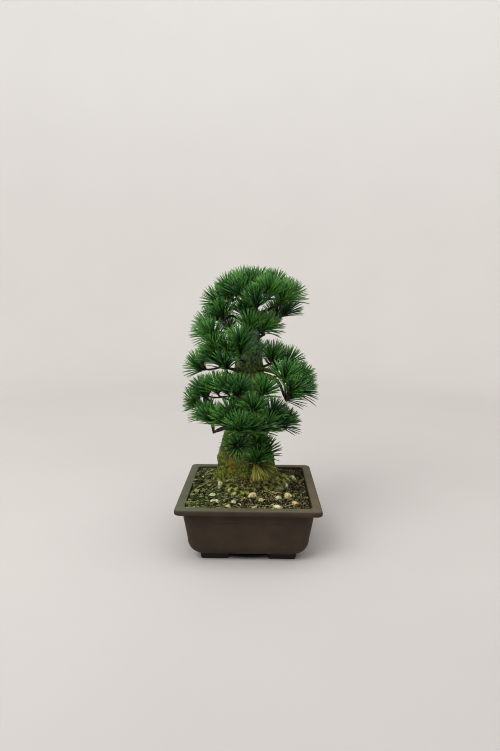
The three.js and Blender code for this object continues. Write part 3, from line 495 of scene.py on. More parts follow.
# Each spray: the height where its limb leaves the trunk, the stops of the limb's path, and its shoots as
# x, y, z of the base, heading and lift. Heading 0 points right, 90 back and -90 to the front.
SPRAYS = {
    "crown_left": (446, [[-20, -2, 468]], [[-31, -12, 481, 188, 46], [-53, 4, 463, 186, 14],
        [-40, 26, 469, 140, 50]]),
    "crown_front": (430, [[4, -14, 450]], [[11, -48, 458, -92, 66], [-13, -30, 474, -108, 66],
        [32, -46, 475, -72, 66]]),
    "crown_right": (438, [[34, -6, 452]], [[56, -32, 466, -62, 58], [67, -12, 469, -5, 46]]),
    "crown_top": (460, [[13, 9, 476]], [[14, 8, 490, 90, 85], [40, 14, 489, 40, 62],
        [-11, 20, 492, 150, 66], [-1, -14, 487, -95, 76]]),
    "crown_back": (440, [[14, 34, 466]], [[22, 62, 487, 90, 48], [-26, 50, 484, 130, 44],
        [59, 42, 477, 45, 48]]),
    "upper_left": (422, [[-34, 24, 438]], [[-58, 22, 430, 164, 48]]),
    "upper_right": (402, [[38, 18, 420]], [[49, 22, 434, 60, 70], [62, 12, 441, 12, 56]]),
    "second_left": (368, [[-50, -14, 388]], [[-72, -8, 402, 186, 32], [-66, -44, 396, 215, 66],
        [-59, -50, 379, 205, 50], [-38, -40, 371, -100, 56]]),
    "second_front": (380, [[-16, -22, 394]], [[-49, -14, 435, -120, 68], [-17, -62, 386, -92, 66],
        [-8, -18, 440, -110, 64], [0, -40, 413, -90, 66]]),
    "second_right": (388, [[22, 0, 402]], [[20, -22, 412, -35, 50], [24, 4, 414, 5, 32]]),
    "second_back": (378, [[-24, 42, 398]], [[-42, 60, 407, 112, 45], [10, 66, 407, 75, 45],
        [-76, 34, 414, 155, 42]]),
    "third_left": (328, [[-48, -14, 342]], [[-86, -18, 340, 187, 22], [-61, -34, 357, 205, 52]]),
    "third_left_front": (316, [[-34, -26, 330]], [[-43, -52, 346, -110, 58]]),
    "third_front": (346, [[-18, -20, 358]], [[-18, -38, 369, -95, 52]]),
    "third_back": (334, [[-20, 48, 348]], [[-71, 44, 346, 150, 40], [-35, 78, 355, 108, 44],
        [11, 74, 351, 75, 44]]),
    "right_upper": (328, [[34, 4, 346]], [[41, -12, 354, -65, 74], [67, 4, 344, -5, 50]]),
    "right_mid": (340, [[48, -12, 333], [62, -24, 323]], [[84, -20, 320, -8, 36], [63, -55, 324, -75, 60]]),
    "right_lower": (332, [[50, -18, 319], [66, -39, 290]], [[73, -62, 303, -45, 46],
        [90, -34, 300, -10, 22], [68, -38, 287, -22, 34]]),
    "right_back": (304, [[52, 30, 320]], [[75, 40, 319, 40, 42], [48, 64, 328, 75, 44],
        [93, 8, 310, 18, 36]]),
    "fourth_left": (252, [[-58, -4, 262]], [[-81, -32, 289, 200, 62], [-97, -12, 270, 184, 24]]),
    "fourth_front": (268, [[-20, -34, 280]], [[-60, -42, 299, -118, 66], [-19, -66, 299, -95, 62],
        [22, -56, 298, -46, 48], [-39, -60, 303, -108, 60]]),
    "fourth_back": (256, [[-34, 60, 270]], [[-89, 42, 281, 150, 42], [-47, 82, 276, 108, 44],
        [15, 82, 275, 72, 44]]),
    "fifth_left": (220, [[-56, -6, 221], [-65, -22, 220]], [[-78, -18, 248, 184, 44],
        [-69, -42, 241, 205, 62], [-43, -58, 242, -115, 56]]),
    "fifth_front": (228, [[-22, -46, 236]], [[-31, -64, 256, -105, 62], [-16, -86, 237, -94, 52],
        [7, -68, 267, -80, 62]]),
    "fifth_right_front": (230, [[18, -32, 232]], [[2, -76, 235, -72, 52], [25, -60, 233, -35, 48],
        [37, -34, 252, -30, 54]]),
    "fifth_right": (214, [[42, 1, 222], [53, -2, 221]], [[58, -18, 232, -20, 32], [55, 20, 226, 35, 42]]),
    "fifth_back": (206, [[-8, 74, 218]], [[-63, 66, 216, 128, 42], [-10, 94, 221, 95, 44],
        [37, 70, 214, 50, 42]]),
    "low_front": (186, [[-20, -20, 196]], [[-21, -38, 198, -92, 10]]),
    "low_right": (158, [[20, -16, 164]], [[13, -42, 167, -70, 60], [24, -28, 175, -28, 52],
        [14, -34, 194, -82, 72]]),
    "old_needles": (146, [[2, -22, 152]], [[11, -40, 163, -52, -52], [22, -34, 161, -25, -34]]),
}


def curve(t, start, leave, end, arrive):
    """Cubic from start to end with given slopes at its ends: (2t^3 - 3t^2 + 1) start
    + (t^3 - 2t^2 + t) leave + (3t^2 - 2t^3) end + (t^3 - t^2) arrive."""
    return ((2 * t**3 - 3 * t**2 + 1) * start + (t**3 - 2 * t**2 + t) * leave
            + (3 * t**2 - 2 * t**3) * end + (t**3 - t**2) * arrive)


def trunk_line(z):
    """Middle in X and Y, and radius, at any height: between two sections a cubic whose slope at each
    section is the harmonic mean of the slopes on its two sides, or level where they change sign."""
    knots, values = TRUNK_SECTIONS[:, 0], TRUNK_SECTIONS[:, 1:]
    secant = np.diff(values, axis=0) / np.diff(knots)[:, None]
    before, after = secant[:-1], secant[1:]
    same = before * after > 0
    slope = np.where(same, 2 * before * after / np.where(same, before + after, 1), 0)
    slope = np.concatenate([secant[:1], slope, secant[-1:]])
    z = np.clip(z, knots[0], knots[-1])
    i = np.clip(np.searchsorted(knots, z, side="right") - 1, 0, len(knots) - 2)
    gap = (knots[i + 1] - knots[i])[..., None]
    t = (z - knots[i])[..., None] / gap
    return curve(t, values[i], gap * slope[i], values[i + 1], gap * slope[i + 1])


def drawn(number):
    """The frame's repeatable draw between -1 and 1 for each whole number."""
    wave = np.sin(number * 127.1 + 11.7) * 43758.5453
    return 2 * (wave - np.floor(wave)) - 1


def trunk_swell(z, angle):
    """Share added to the trunk's radius: five buttress roots, a cosine that fades out upwards, and the
    frame's lumps of bark, one draw for each section and side, blended smoothly between them."""
    root = 0.2 * np.clip((ROOT_TOP - z) / ROOT_RISE, 0, 1) ** 2 * np.cos(5 * angle + 0.7)
    knots = TRUNK_SECTIONS[:, 0]
    row = np.clip(np.searchsorted(knots, z, side="right") - 1, 0, len(knots) - 2)
    up = np.clip((z - knots[row]) / (knots[row + 1] - knots[row]), 0, 1)
    side = angle / (2 * np.pi) * BARK_SIDES
    column = np.floor(side).astype(int)
    up, turn = eased(up), eased(side - column)
    lump = 0
    for row_step, row_share in ((0, 1 - up), (1, up)):
        for column_step, column_share in ((0, 1 - turn), (1, turn)):
            number = (row + row_step) * BARK_SIDES + (column + column_step) % BARK_SIDES
            lump = lump + row_share * column_share * drawn(number)
    return root + 0.045 * lump


def trunk_point(z, angle, out=0.0):
    """Point on the smooth trunk: middle + (r (1 + swell) + out) (cos a, flat sin a)."""
    x, y, radius = np.moveaxis(trunk_line(z), -1, 0)
    reach = radius * (1 + trunk_swell(z, angle)) + out
    return np.stack([x + reach * np.cos(angle), y + reach * np.sin(angle) * TRUNK_FLAT, z + 0 * angle], -1)


def hill(points, middle, spread):
    """A round hill, one high at its middle: e^(-d^2), with d the distance in spreads."""
    return np.exp(-(((points - middle) / spread) ** 2).sum(-1))


def bark_relief(points, thickness):
    """Height of the bark in millimetres, and how deep in a crack each point lies, from 0 to 1. Knobs and
    smaller bumps are noise, and each burl is a round hill. Cracks run where a noise stretched upwards
    crosses zero, and are shallow above."""
    tall = points * (1, 1, 0.5)
    crack = np.clip(1 - 3.2 * np.abs(lumps(tall, 8, 5) + 0.35 * lumps(tall, 3.5, 6)), 0, 1)
    crack = crack * np.clip((270 - points[..., 2]) / 60, 0.3, 1)
    knobs = 1.7 * lumps(points, 15, 7) + 1.1 * lumps(points, 6, 8) + 0.5 * lumps(points, 2.6, 9)
    for middle, spread, height in BURLS:
        knobs = knobs + height * hill(points, middle, spread)
    return thickness * (knobs - 1.3 * crack), crack


def limb_path(leaves, stops, steps):
    """Path of a limb from the middle of the trunk through its stops: straight to a single stop, and
    through two on cubics whose slope at the middle one is the centripetal mean of the two sides."""
    start = np.array([*trunk_line(leaves)[:2], leaves])
    share = np.linspace(0, 1, steps)[:, None]
    if len(stops) == 1:
        return start + (stops[0] - start) * share
    a, b, c = start, np.array(stops[0]), np.array(stops[1])
    first, second = np.sqrt(np.linalg.norm(b - a)), np.sqrt(np.linalg.norm(c - b))
    middle = (b - a) / first - (c - a) / (first + second) + (c - b) / second
    half = share[::2]
    return np.concatenate([curve(half, a, b - a, b, middle * first),
                           curve(half[1:], b, middle * second, c, c - b)])


def bark_moss(points):
    """Where moss grows on bark: large and small patches of noise."""
    return 0.9 * lumps(points, 22, 10) + 0.4 * lumps(points, 7, 11)


levels = np.concatenate([[70, 84, 94, 99], np.arange(103, 470, 2.0), [470]])
grid_z, grid_angle = np.meshgrid(levels, full_turn(200), indexing="ij")
smooth_trunk = trunk_point(grid_z, grid_angle)
thickness = np.clip(trunk_line(levels)[:, 2] / 26, 0.25, 1)[:, None]
relief, trunk_crack = bark_relief(smooth_trunk, thickness)
trunk_rings = trunk_point(grid_z, grid_angle, relief)
wood = [skin(trunk_rings)]
wood_crack = [trunk_crack.ravel()]
for leaves, stops, _ in SPRAYS.values():
    path = limb_path(leaves, np.array(stops, float), LIMB_STEPS)
    start = min(LIMB_ROOT, 0.6 * trunk_line(leaves)[2])
    limb = tube_rings(path, LIMB_TIP + (start - LIMB_TIP) * np.linspace(1, 0, LIMB_STEPS) ** 1.6, 16)
    knob, limb_crack = bark_relief(limb, 0.3)
    limb = limb + unit(limb - path[:, None]) * np.minimum(knob, 0.25)[..., None]
    wood.append(skin(limb))
    wood_crack.append(np.maximum(limb_crack, np.linspace(0, 0.95, LIMB_STEPS)[:, None]).ravel())
wood_points, wood_faces = joined(*wood)

# How mossy, how grey-green with algae, and how stained with ochre, each point of the bark is.
climb = np.clip((MOSS_TOP - wood_points[:, 2]) / MOSS_RISE, 0, 1)
algae = np.clip((wood_points[:, 2] - 335) / 50, 0, 1) * (0.75 + 0.35 * lumps(wood_points, 12, 19))
mossy = np.clip(1.5 * climb + bark_moss(wood_points) - 0.35, 0, 1)
high_stain = hill(wood_points, *HIGH_STAIN)
stains = hill(wood_points, *LOW_STAIN) + 0.35 * high_stain
ochre = 1.3 * stains + 0.35 * lumps(wood_points, 9, 12) - 0.15
ochre = np.clip(ochre, 0, 1)
damp = np.maximum(np.concatenate(wood_crack), 0.6 * high_stain)
wood_mesh = make_mesh("trunk_and_limbs", wood_points, wood_faces,
                      crack=damp, mossy=mossy, ochre=ochre, algae=algae)

# Bark of an old pine: dry cork plates, grey-green with lichen, over brown cracks. Moss fills the cracks
# and covers the lower trunk, and one side is stained ochre. Everything is matt.
bark, node, to_shader, where = new_finish("old_pine_bark", 0.9, 0.1)
crack, moss_amount, ochre_amount, algae_amount = (
    node("Attribute", out="Fac", attribute_name=key) for key in ("crack", "mossy", "ochre", "algae"))
plates = node("TexNoise", {"Vector": where, "Scale": per(16), "Detail": 7.0, "Roughness": 0.65})
plate = node("ValToRGB", {0: plates}, [(0.3, "#3c4820"), (0.46, "#5b6d3c"), (0.58, "#6f844c"),
                                       (0.72, "#857f50")])
powdered = node("Mix", {0: algae_amount, 6: plate, 7: "#6a8f72"}, data_type="RGBA")
cracked = node("Mix", {0: crack, 6: powdered, 7: "#251e12"}, data_type="RGBA")
fuzz = node("TexNoise", {"Vector": where, "Scale": per(5), "Detail": 5.0})
moss_tint = node("ValToRGB", {0: fuzz}, [(0.3, "#323b14"), (0.5, "#596524"), (0.7, "#878f3e")])
mossed = node("Mix", {0: moss_amount, 6: cracked, 7: moss_tint}, data_type="RGBA")
ochre_tint = node("ValToRGB", {0: fuzz}, [(0.3, "#4c4010"), (0.7, "#877825")])
stained = node("Mix", {0: ochre_amount, 6: mossed, 7: ochre_tint}, data_type="RGBA")
specks = node("TexNoise", {"Vector": where, "Scale": per(4.5), "Detail": 3.0})
shade = node("MapRange", {"Value": specks, "From Min": 0.36, "From Max": 0.66, "To Min": 0.4, "To Max": 1.6})
coloured = node("VectorMath", {0: stained, 3: shade}, operation="SCALE")
bump = node("Bump", {"Height": fuzz, "Strength": 0.7, "Distance": 0.0012})
to_shader({"Base Color": coloured, "Normal": bump})
place_piece(wood_mesh, bark, "bark", "trunk")


# ---- Moss
# A mat of cushion moss round the foot of the trunk, a few millimetres thick, creeping up the bark. Each
# sprig is a short green cone. Old needles, chips of bark and a few dead twigs lie in it.

MAT_UNDERSIDE = 103.3
SPRIG_LEAST, SPRIG_MOST = [0.8, 0.8, 1.2], [1.5, 1.5, 3.2]  # a sprig's widths and length
DEBRIS = np.array([-6, -24])  # where bark chips have gathered
# Two ends and radius of each dead twig.
DEAD_TWIGS = [((-104, -19, 104), (-74, -3, 116), 1.3), ((-94, 22, 106), (-80, 44, 108), 1.1),
              ((60, -40, 107), (38, -46, 108), 0.9), ((30, -34, 112), (52, -50, 107), 0.9)]
TRUNK_FOOT, FOOT_REACH = (-8, 38), 60  # the trunk on the ground, and how far round it no chips lie


def trunk_gap(x, y, z):
    """Distance from the trunk's middle line at that height, in trunk radii."""
    x_middle, y_middle, radius = np.moveaxis(trunk_line(z), -1, 0)
    return np.hypot(x - x_middle, (y - y_middle) / TRUNK_FLAT) / radius


def moss_place(share, angle):
    """Place on the ground at that share of the way from the middle of the moss to its ellipse."""
    return np.stack([MOSS["x"] + MOSS["radius_x"] * share * np.cos(angle),
                     MOSS["y"] + MOSS["radius_y"] * share * np.sin(angle), 0 * share * angle], -1)


def moss_dome(share):
    """The moss's rise above its edge, from 0 to 1: steep at the edge, and level further in."""
    return np.clip((1 - share) / 0.35, 0, 1) ** 0.8


def ground_height(x, y):
    """Height of the soil, or of the moss on it: a low edge, rising towards the trunk."""
    share = moss_share(x, y)
    on_moss = np.clip((1.02 - share) / 0.05, 0, 1)
    return soil_height(x, y) + on_moss * (MOSS["edge"] + MOSS["crown"] * moss_dome(share) + 1)


def moss_clumps(flat):
    """Height of the moss's clumps: noise at three sizes, with deep narrow hollows where it is low."""
    low = 0.8 * lumps(flat, 10, 14) + 0.9 * lumps(flat, 5, 15) + 0.4 * lumps(flat, 2.4, 16)
    return 1.9 * low - 2.6 * np.clip(-low - 0.2, 0, 1)


angles = full_turn(320)
shares = np.concatenate([[1.0], np.linspace(1, 0.4, 60), [0.3]])[:, None]
circle = np.stack([np.cos(angles), np.sin(angles), 0 * angles], -1)
reach = moss_outline(angles) + 0.03 * lumps(5 * circle, 1, 13)
mat = moss_place(reach * shares, angles)
clump = moss_clumps(mat)
mat[..., 2] = soil_height(mat[..., 0], mat[..., 1]) + 1.4 + MOSS["crown"] * moss_dome(shares) + clump
mat = np.concatenate([mat[-1:], mat])
mat[:2, :, 2] = MAT_UNDERSIDE
moss_mesh = make_mesh("moss_mat", *skin(mat), tone=0.5, tall=np.concatenate([clump[:1], clump]).ravel())


def cone_shape(sides):
    """An upright cone one unit high, on a ring of half a unit's radius."""
    angle = full_turn(sides)
    ring = np.stack([0.5 * np.cos(angle), 0.5 * np.sin(angle), 0 * angle], -1)
    spot = np.arange(sides)
    flanks = np.stack([spot, np.roll(spot, -1), np.full(sides, sides)], -1)
    return np.concatenate([ring, [[0, 0, 1]]]), [flanks, spot[None, ::-1]]


def tubes(paths, radii, sides):
    """Many tubes along paths with equal numbers of points, as one skin."""
    rings = tube_rings(paths, radii, sides)
    return repeated(rings.reshape(len(rings), -1, 3), skin(rings[0])[1])


rng = np.random.default_rng(21)
count = 22000
share = np.sqrt(rng.uniform(0.2, 1.25, count))
turn = rng.uniform(0, 2 * np.pi, count)
spots = moss_place(moss_outline(turn) * share, turn)
clear = trunk_gap(spots[:, 0], spots[:, 1], 118) > 0.86
clear &= rng.uniform(1.0, 1.12, count) > share
spots = spots[clear]
ground_clump = moss_clumps(spots)
spots[:, 2] = soil_height(*spots[:, :2].T) + 1.1 + MOSS["crown"] * moss_dome(share[clear]) + ground_clump
lean = np.array([0, 0, 1]) + 0.55 * rng.normal(size=spots.shape) * (1, 1, 0.2)
size = rng.uniform(SPRIG_LEAST, SPRIG_MOST, spots.shape)
ground_sprigs = strewn(*cone_shape(3), spots, facing_frames(lean, rng), size)
ground_tone = rng.uniform(0, 1, len(spots))

count = 13000
sprig_z = 104 + 120 * rng.uniform(0, 1, count) ** 1.5
sprig_angle = rng.uniform(0, 2 * np.pi, count)
on_bark = trunk_point(sprig_z, sprig_angle)
on_bark = trunk_point(sprig_z, sprig_angle, bark_relief(on_bark, 1.0)[0] - 0.3)
keep = 1.3 * (MOSS_TOP - sprig_z) / MOSS_RISE + bark_moss(on_bark) - 0.4 > rng.uniform(0, 1, count)
on_bark, sprig_angle = on_bark[keep], sprig_angle[keep]
outward = np.stack([np.cos(sprig_angle), np.sin(sprig_angle) / TRUNK_FLAT, 0.5 + 0 * sprig_angle], -1)
outward = outward + 0.4 * rng.normal(size=outward.shape)
size = rng.uniform(SPRIG_LEAST, SPRIG_MOST, on_bark.shape)
bark_sprigs = strewn(*cone_shape(3), on_bark, facing_frames(outward, rng), size)
bark_tone = rng.uniform(0, 1, len(on_bark))
sprig_points, sprig_faces = joined(ground_sprigs, bark_sprigs)
sprig_tone = np.repeat(np.concatenate([ground_tone, bark_tone]), 4)
bark_clump = 1.6 * lumps(on_bark, 9, 14)
sprig_tall = np.repeat(np.concatenate([ground_clump, bark_clump]), 4)
sprig_mesh = make_mesh("moss_sprigs", sprig_points, sprig_faces, tone=sprig_tone, tall=sprig_tall)

# Cushion moss, alive and slightly dry: soft, quite matt, olive with yellow-green tips and brown hollows,
# which are painted darker still as shade.
moss_finish, node, to_shader, where = new_finish("cushion_moss", 0.95, 0.06)
tone, tall = (node("Attribute", out="Fac", attribute_name=key) for key in ("tone", "tall"))
patch, specks, tufts = (node("TexNoise", {"Vector": where, "Scale": per(size), "Detail": detail})
                        for size, detail in ((22, 2.0), (7, 2.5), (1.8, 3.0)))
# The lower the moss lies, the darker its colour: browner old growth, and painted shade in the hollows.
hollow_browning_and_shade = node("MapRange", {"Value": tall, "From Min": -3.2, "From Max": 2.4, "To Min": -2.1, "To Max": -1.25})
own = node("Math", {0: tone, 1: 0.12, 2: hollow_browning_and_shade}, operation="MULTIPLY_ADD")
patched = node("Math", {0: patch, 1: 1.3, 2: own}, operation="MULTIPLY_ADD")
mixed = node("Math", {0: specks, 1: 2.7, 2: patched}, operation="MULTIPLY_ADD")
tint = node("ValToRGB", {0: mixed}, [(0.0, "#1a1706"), (0.25, "#3c3a12"), (0.48, "#676f26"), (0.7, "#8f9944"),
                                     (0.95, "#b6bf78")])
bump = node("Bump", {"Height": tufts, "Strength": 1.0, "Distance": 0.0012})
to_shader({"Base Color": tint, "Sheen Weight": 0.2, "Normal": bump})
place_piece(moss_mesh, moss_finish, "moss", "moss")
place_piece(sprig_mesh, moss_finish, "moss")

# Litter: fallen needles, chips of bark that lie thickest in front of the trunk, and dead twigs.
count = 420
start = rng.uniform([-104, -108], [104, 108], (count, 2))
heading = rng.uniform(0, 2 * np.pi, count)
curl = rng.uniform(-0.4, 0.4, count)
run = np.linspace(0, 1, 5) * rng.uniform(8, 24, count)[:, None]
bearing = heading[:, None] + curl[:, None] * np.linspace(0, 1, 5)
x = start[:, :1] + run * np.cos(bearing)
y = start[:, 1:] + run * np.sin(bearing)
fallen = np.stack([x, y, ground_height(x, y) + 1.5 + rng.uniform(0, 1.5, (count, 1))], -1)
clear = (trunk_gap(x, y, 112) > 1.15) & (np.abs(x) < 106) & (np.abs(y) < 110)
fallen = fallen[clear.all(1)]
thick = rng.uniform(0.3, 0.75, (len(fallen), 1)) * np.array([0.8, 1.0, 1.0, 0.9, 0.3])
needle_litter = tubes(fallen, thick, 4)
litter_tone = [np.repeat(rng.uniform(0.1, 0.8, len(fallen)), 20)]

count = 2600
chips_xy = rng.uniform([-100, -100], [100, 100], (count, 2))
chips_xy[:700] = DEBRIS + rng.normal(size=(700, 2)) * (10, 8)
heap = hill(chips_xy, DEBRIS, (15, 12))
band = 0.06 * np.exp(-((moss_share(*chips_xy.T) - 0.95) / 0.25) ** 2)
near = heap + band > rng.uniform(0, 1, count)
off_trunk = np.hypot(*((chips_xy - TRUNK_FOOT) / (1, TRUNK_FLAT)).T) > FOOT_REACH
chips_xy, heap = chips_xy[near & off_trunk], heap[near & off_trunk]
chip_z = ground_height(*chips_xy.T) + rng.uniform(0.8, 3.6, len(chips_xy)) + 5 * heap
chip_place = np.column_stack([chips_xy, chip_z])
chip_frames = facing_frames(np.array([0, 0, 1]) + 0.7 * rng.normal(size=chip_place.shape), rng)
chip_size = rng.uniform([2.0, 1.4, 0.7], [6.0, 3.2, 2.0], chip_place.shape) * (1 + 0.4 * heap[:, None])
chips = strewn(*grain_shape(), chip_place, chip_frames, chip_size, 0.25, 22)
litter_tone.append(np.repeat(rng.uniform(0, 0.9, len(chip_place)) ** 1.2, 12))
twig_reach = np.linspace(0, 1, 7)[:, None]
dead_twigs = []
for one_end, other_end, radius in DEAD_TWIGS:
    twig_path = np.array(one_end) * (1 - twig_reach) + np.array(other_end) * twig_reach
    twig_path = twig_path + 1.2 * np.stack([lumps(twig_path, 9, seed) for seed in (31, 32, 33)], -1)
    dead_twigs.append(skin(tube_rings(twig_path, radius * np.array([0.7, 1.1, 1, 0.9, 1, 0.8, 0.4]), 7)))
    litter_tone.append(np.full(49, 0.85))
litter_points, litter_faces = joined(needle_litter, chips, *dead_twigs)
litter_mesh = make_mesh("bark_chips_and_litter", litter_points, litter_faces, smooth=False,
                        tone=np.concatenate(litter_tone))

# Dead pine needles and bark: dry, matt, from dark brown chips to straw-coloured needles.
litter_finish, node, to_shader, where = new_finish("dead_needles_and_bark_chips", 0.8, 0.12)
tone = node("Attribute", out="Fac", attribute_name="tone")
grain = node("TexNoise", {"Vector": where, "Scale": per(4), "Detail": 5.0})
centred = node("Math", {0: grain, 1: 0.3, 2: -0.15}, operation="MULTIPLY_ADD")
mixed = node("Math", {0: tone, 1: centred}, operation="ADD")
tint = node("ValToRGB", {0: mixed}, [(0.1, "#2a2312"), (0.35, "#52492e"), (0.6, "#756b45"), (1.0, "#aca068")])
across = node("SeparateXYZ", {0: where}, out="X")
leftward = node("MapRange", {"Value": across, "From Min": -0.02, "From Max": -0.07, "To Max": 0.8})
greened = node("Mix", {0: leftward, 6: tint, 7: "#a8d4a0"}, data_type="RGBA", blend_type="MULTIPLY")
to_shader({"Base Color": greened})
place_piece(litter_mesh, litter_finish, "bark")


# ---- Loose stones
# A handful of pale pebbles and pumice lumps that lie on the grit: broken, weathered, cream to tan.

# x, y, length, width, height, turn in degrees, tint
STONES = {
    "stone_left_upright": (-56, -28, 11, 7, 17, 20, "#d3daa6"),
    "stone_left_green": (-95, 46, 12, 7, 7, 50, "#a3b690"),
    "stone_left_middle": (-68, -52, 13, 10, 9, -20, "#bcc6a2"),
    "stone_left_flat": (-63, -73, 15, 9, 7, 10, "#c6cca6"),
    "stone_front_yellow": (-37, -96, 13, 9, 8, 0, "#c9c37c"),
    "stone_front_beige": (7, -58, 21, 10, 12, 25, "#cfc19a"),
    "stone_front_small": (22, -71, 12, 8, 8, -15, "#c3bb86"),
    "stone_front_pale": (51, -98, 18, 10, 11, -20, "#dcd6b2"),
    "stone_right_small": (56, -56, 13, 8, 7, 15, "#cfd0a6"),
    "stone_right_mossy": (56, -24, 24, 18, 10, 10, "#6c7a48"),
    "stone_right_cream": (73, -50, 17, 13, 13, 40, "#dccd8c"),
    "stone_right_orange": (84, -81, 14, 10, 9, -10, "#d0b680"),
    "stone_right_edge": (73, -1, 12, 6, 11, 70, "#f2eec4"),
    "stone_back_tan": (89, 48, 14, 9, 11, -40, "#e6deaa"),
}

# Directions over a sphere: rings of equal polar step, from close to the bottom to close to the top.
polar, angle = np.linspace(np.pi - 0.06, 0.06, 22)[:, None], full_turn(30)
ball = np.sin(polar)[..., None] * np.stack([np.cos(angle), np.sin(angle), 0 * angle], -1)
ball[..., 2] = np.cos(polar)
for number, (name, (x, y, length, width, tall, turn, colour)) in enumerate(STONES.items()):
    # Eight flat planes cut the ball, as a broken stone's faces do, and noise weathers it.
    chop = unit(np.random.default_rng(40 + number).normal(size=(8, 3)))
    hits = np.where(ball @ chop.T > 0.3, 0.74 / np.maximum(ball @ chop.T, 0.3), 9)
    radius = np.minimum(1.12, hits.min(-1)) + 0.04 * lumps(ball, 0.5, 20 + number)
    radius += 0.02 * lumps(ball, 0.17, number)
    shape = ball * radius[..., None] * (length / 2, width / 2, tall / 2)
    turn = math.radians(turn)
    turned = shape @ [[math.cos(turn), math.sin(turn), 0], [-math.sin(turn), math.cos(turn), 0], [0, 0, 1]]
    lying = turned + (x, y, ground_height(x, y) + 0.25 * tall)
    pebble_finish, node, to_shader, where = new_finish("weathered_pumice_" + name[6:], 0.75)
    grain = node("TexNoise", {"Vector": where, "Scale": per(3.5), "Detail": 6.0})
    parts = [int(colour[i:i + 2], 16) * share for i, share in ((1, 0.62), (3, 0.6), (5, 0.5))]
    dark = "#" + "".join(f"{int(part):02x}" for part in parts)
    tint = node("ValToRGB", {0: grain}, [(0.3, dark), (0.58, colour)])
    bump = node("Bump", {"Height": grain, "Strength": 0.6, "Distance": 0.0008})
    to_shader({"Base Color": tint, "Normal": bump})
    place_piece(make_mesh(name + "_weathered", *skin(lying)), pebble_finish, "light_stone", name)


# ---- Sprays of shoots
# Each limb ends in a short stem that forks into twigs. A twig ends in a small resinous bud, and bundles
# of five slender needles crowd its last centimetre like the hairs of a brush.

# How far needles reach from the heart of their bud, how many bundles there are, how much they rise, and
# how far back along the shoot they turn.
GREEN = {"full": 42, "bundles": 76, "lift": 0.3, "spread": 0.8}
OLD = {"full": 32, "bundles": 34, "lift": -0.4, "spread": 0.42}
OLD_TONES = (0.15, -0.5)  # the tones of the two old shoots, one yellow and one still half green
BUD_HEART = 6  # how far up the bud its needles' heart lies
NEEDLE_TAPER = np.array([0.8, 1.0, 0.9, 0.12])  # a needle has three sides, a flat foot and a sharp tip
GOLDEN_ANGLE = math.pi * (3 - math.sqrt(5))
LIMIT = np.array([POT_WIDTH / 2 - 0.5, POT_DEPTH / 2 - 0.5])  # the crown stays over the pot


def laid_shoots(name):
    """The forward direction of a spray, the start of its twigs, and each shoot's base and axis."""
    leaves, stops, shoots = SPRAYS[name]
    before = [*trunk_line(leaves)[:2], leaves] if len(stops) == 1 else stops[-2]
    forward = unit(np.array(stops[-1], float) - before)
    root = np.array(stops[-1]) + 0.3 * forward
    start = root + 5 * forward if len(shoots) > 1 else root
    table = np.array(shoots, float)
    heading, lift = np.radians(table[:, 3:]).T
    axis = np.stack([np.cos(heading) * np.cos(lift), np.sin(heading) * np.cos(lift), np.sin(lift)], -1)
    return forward, root, start, table[:, :3], axis


all_hearts = np.concatenate([laid_shoots(name)[3] + BUD_HEART * laid_shoots(name)[4] for name in SPRAYS])


def needle_reach(heart, aim, full):
    """How far needles reach from the heart of a bud: full length, or a little past the half-way plane to
    each other bud, because needles slip between their neighbours'; clear of trunk and ground."""
    between = all_hearts[np.linalg.norm(all_hearts - heart, axis=1) > 1] - heart
    spacing = np.linalg.norm(between, axis=1)
    closing = aim @ (between / spacing[:, None]).T
    limits = np.where(closing > 0.05, spacing / 2 / np.maximum(closing, 0.05), 99)
    reach = np.minimum(full, limits.min(1) + 22)
    steps = np.linspace(0.2, 1, 17)[:, None, None]
    path = heart + aim * reach[:, None] * steps
    x, y, z = np.moveaxis(path, -1, 0)
    in_wood = (trunk_gap(x, y, z) < 1.08 + 1 / trunk_line(z)[..., 2]) & (z < TRUNK_SECTIONS[-1, 0])
    low = z < ground_height(x, y) + 2
    out = (np.abs(path[..., :2]) > LIMIT).any(-1)
    stopped = np.maximum.accumulate(in_wood | low | out, axis=0)
    return reach * np.where(stopped, 0, steps[..., 0]).max(0)


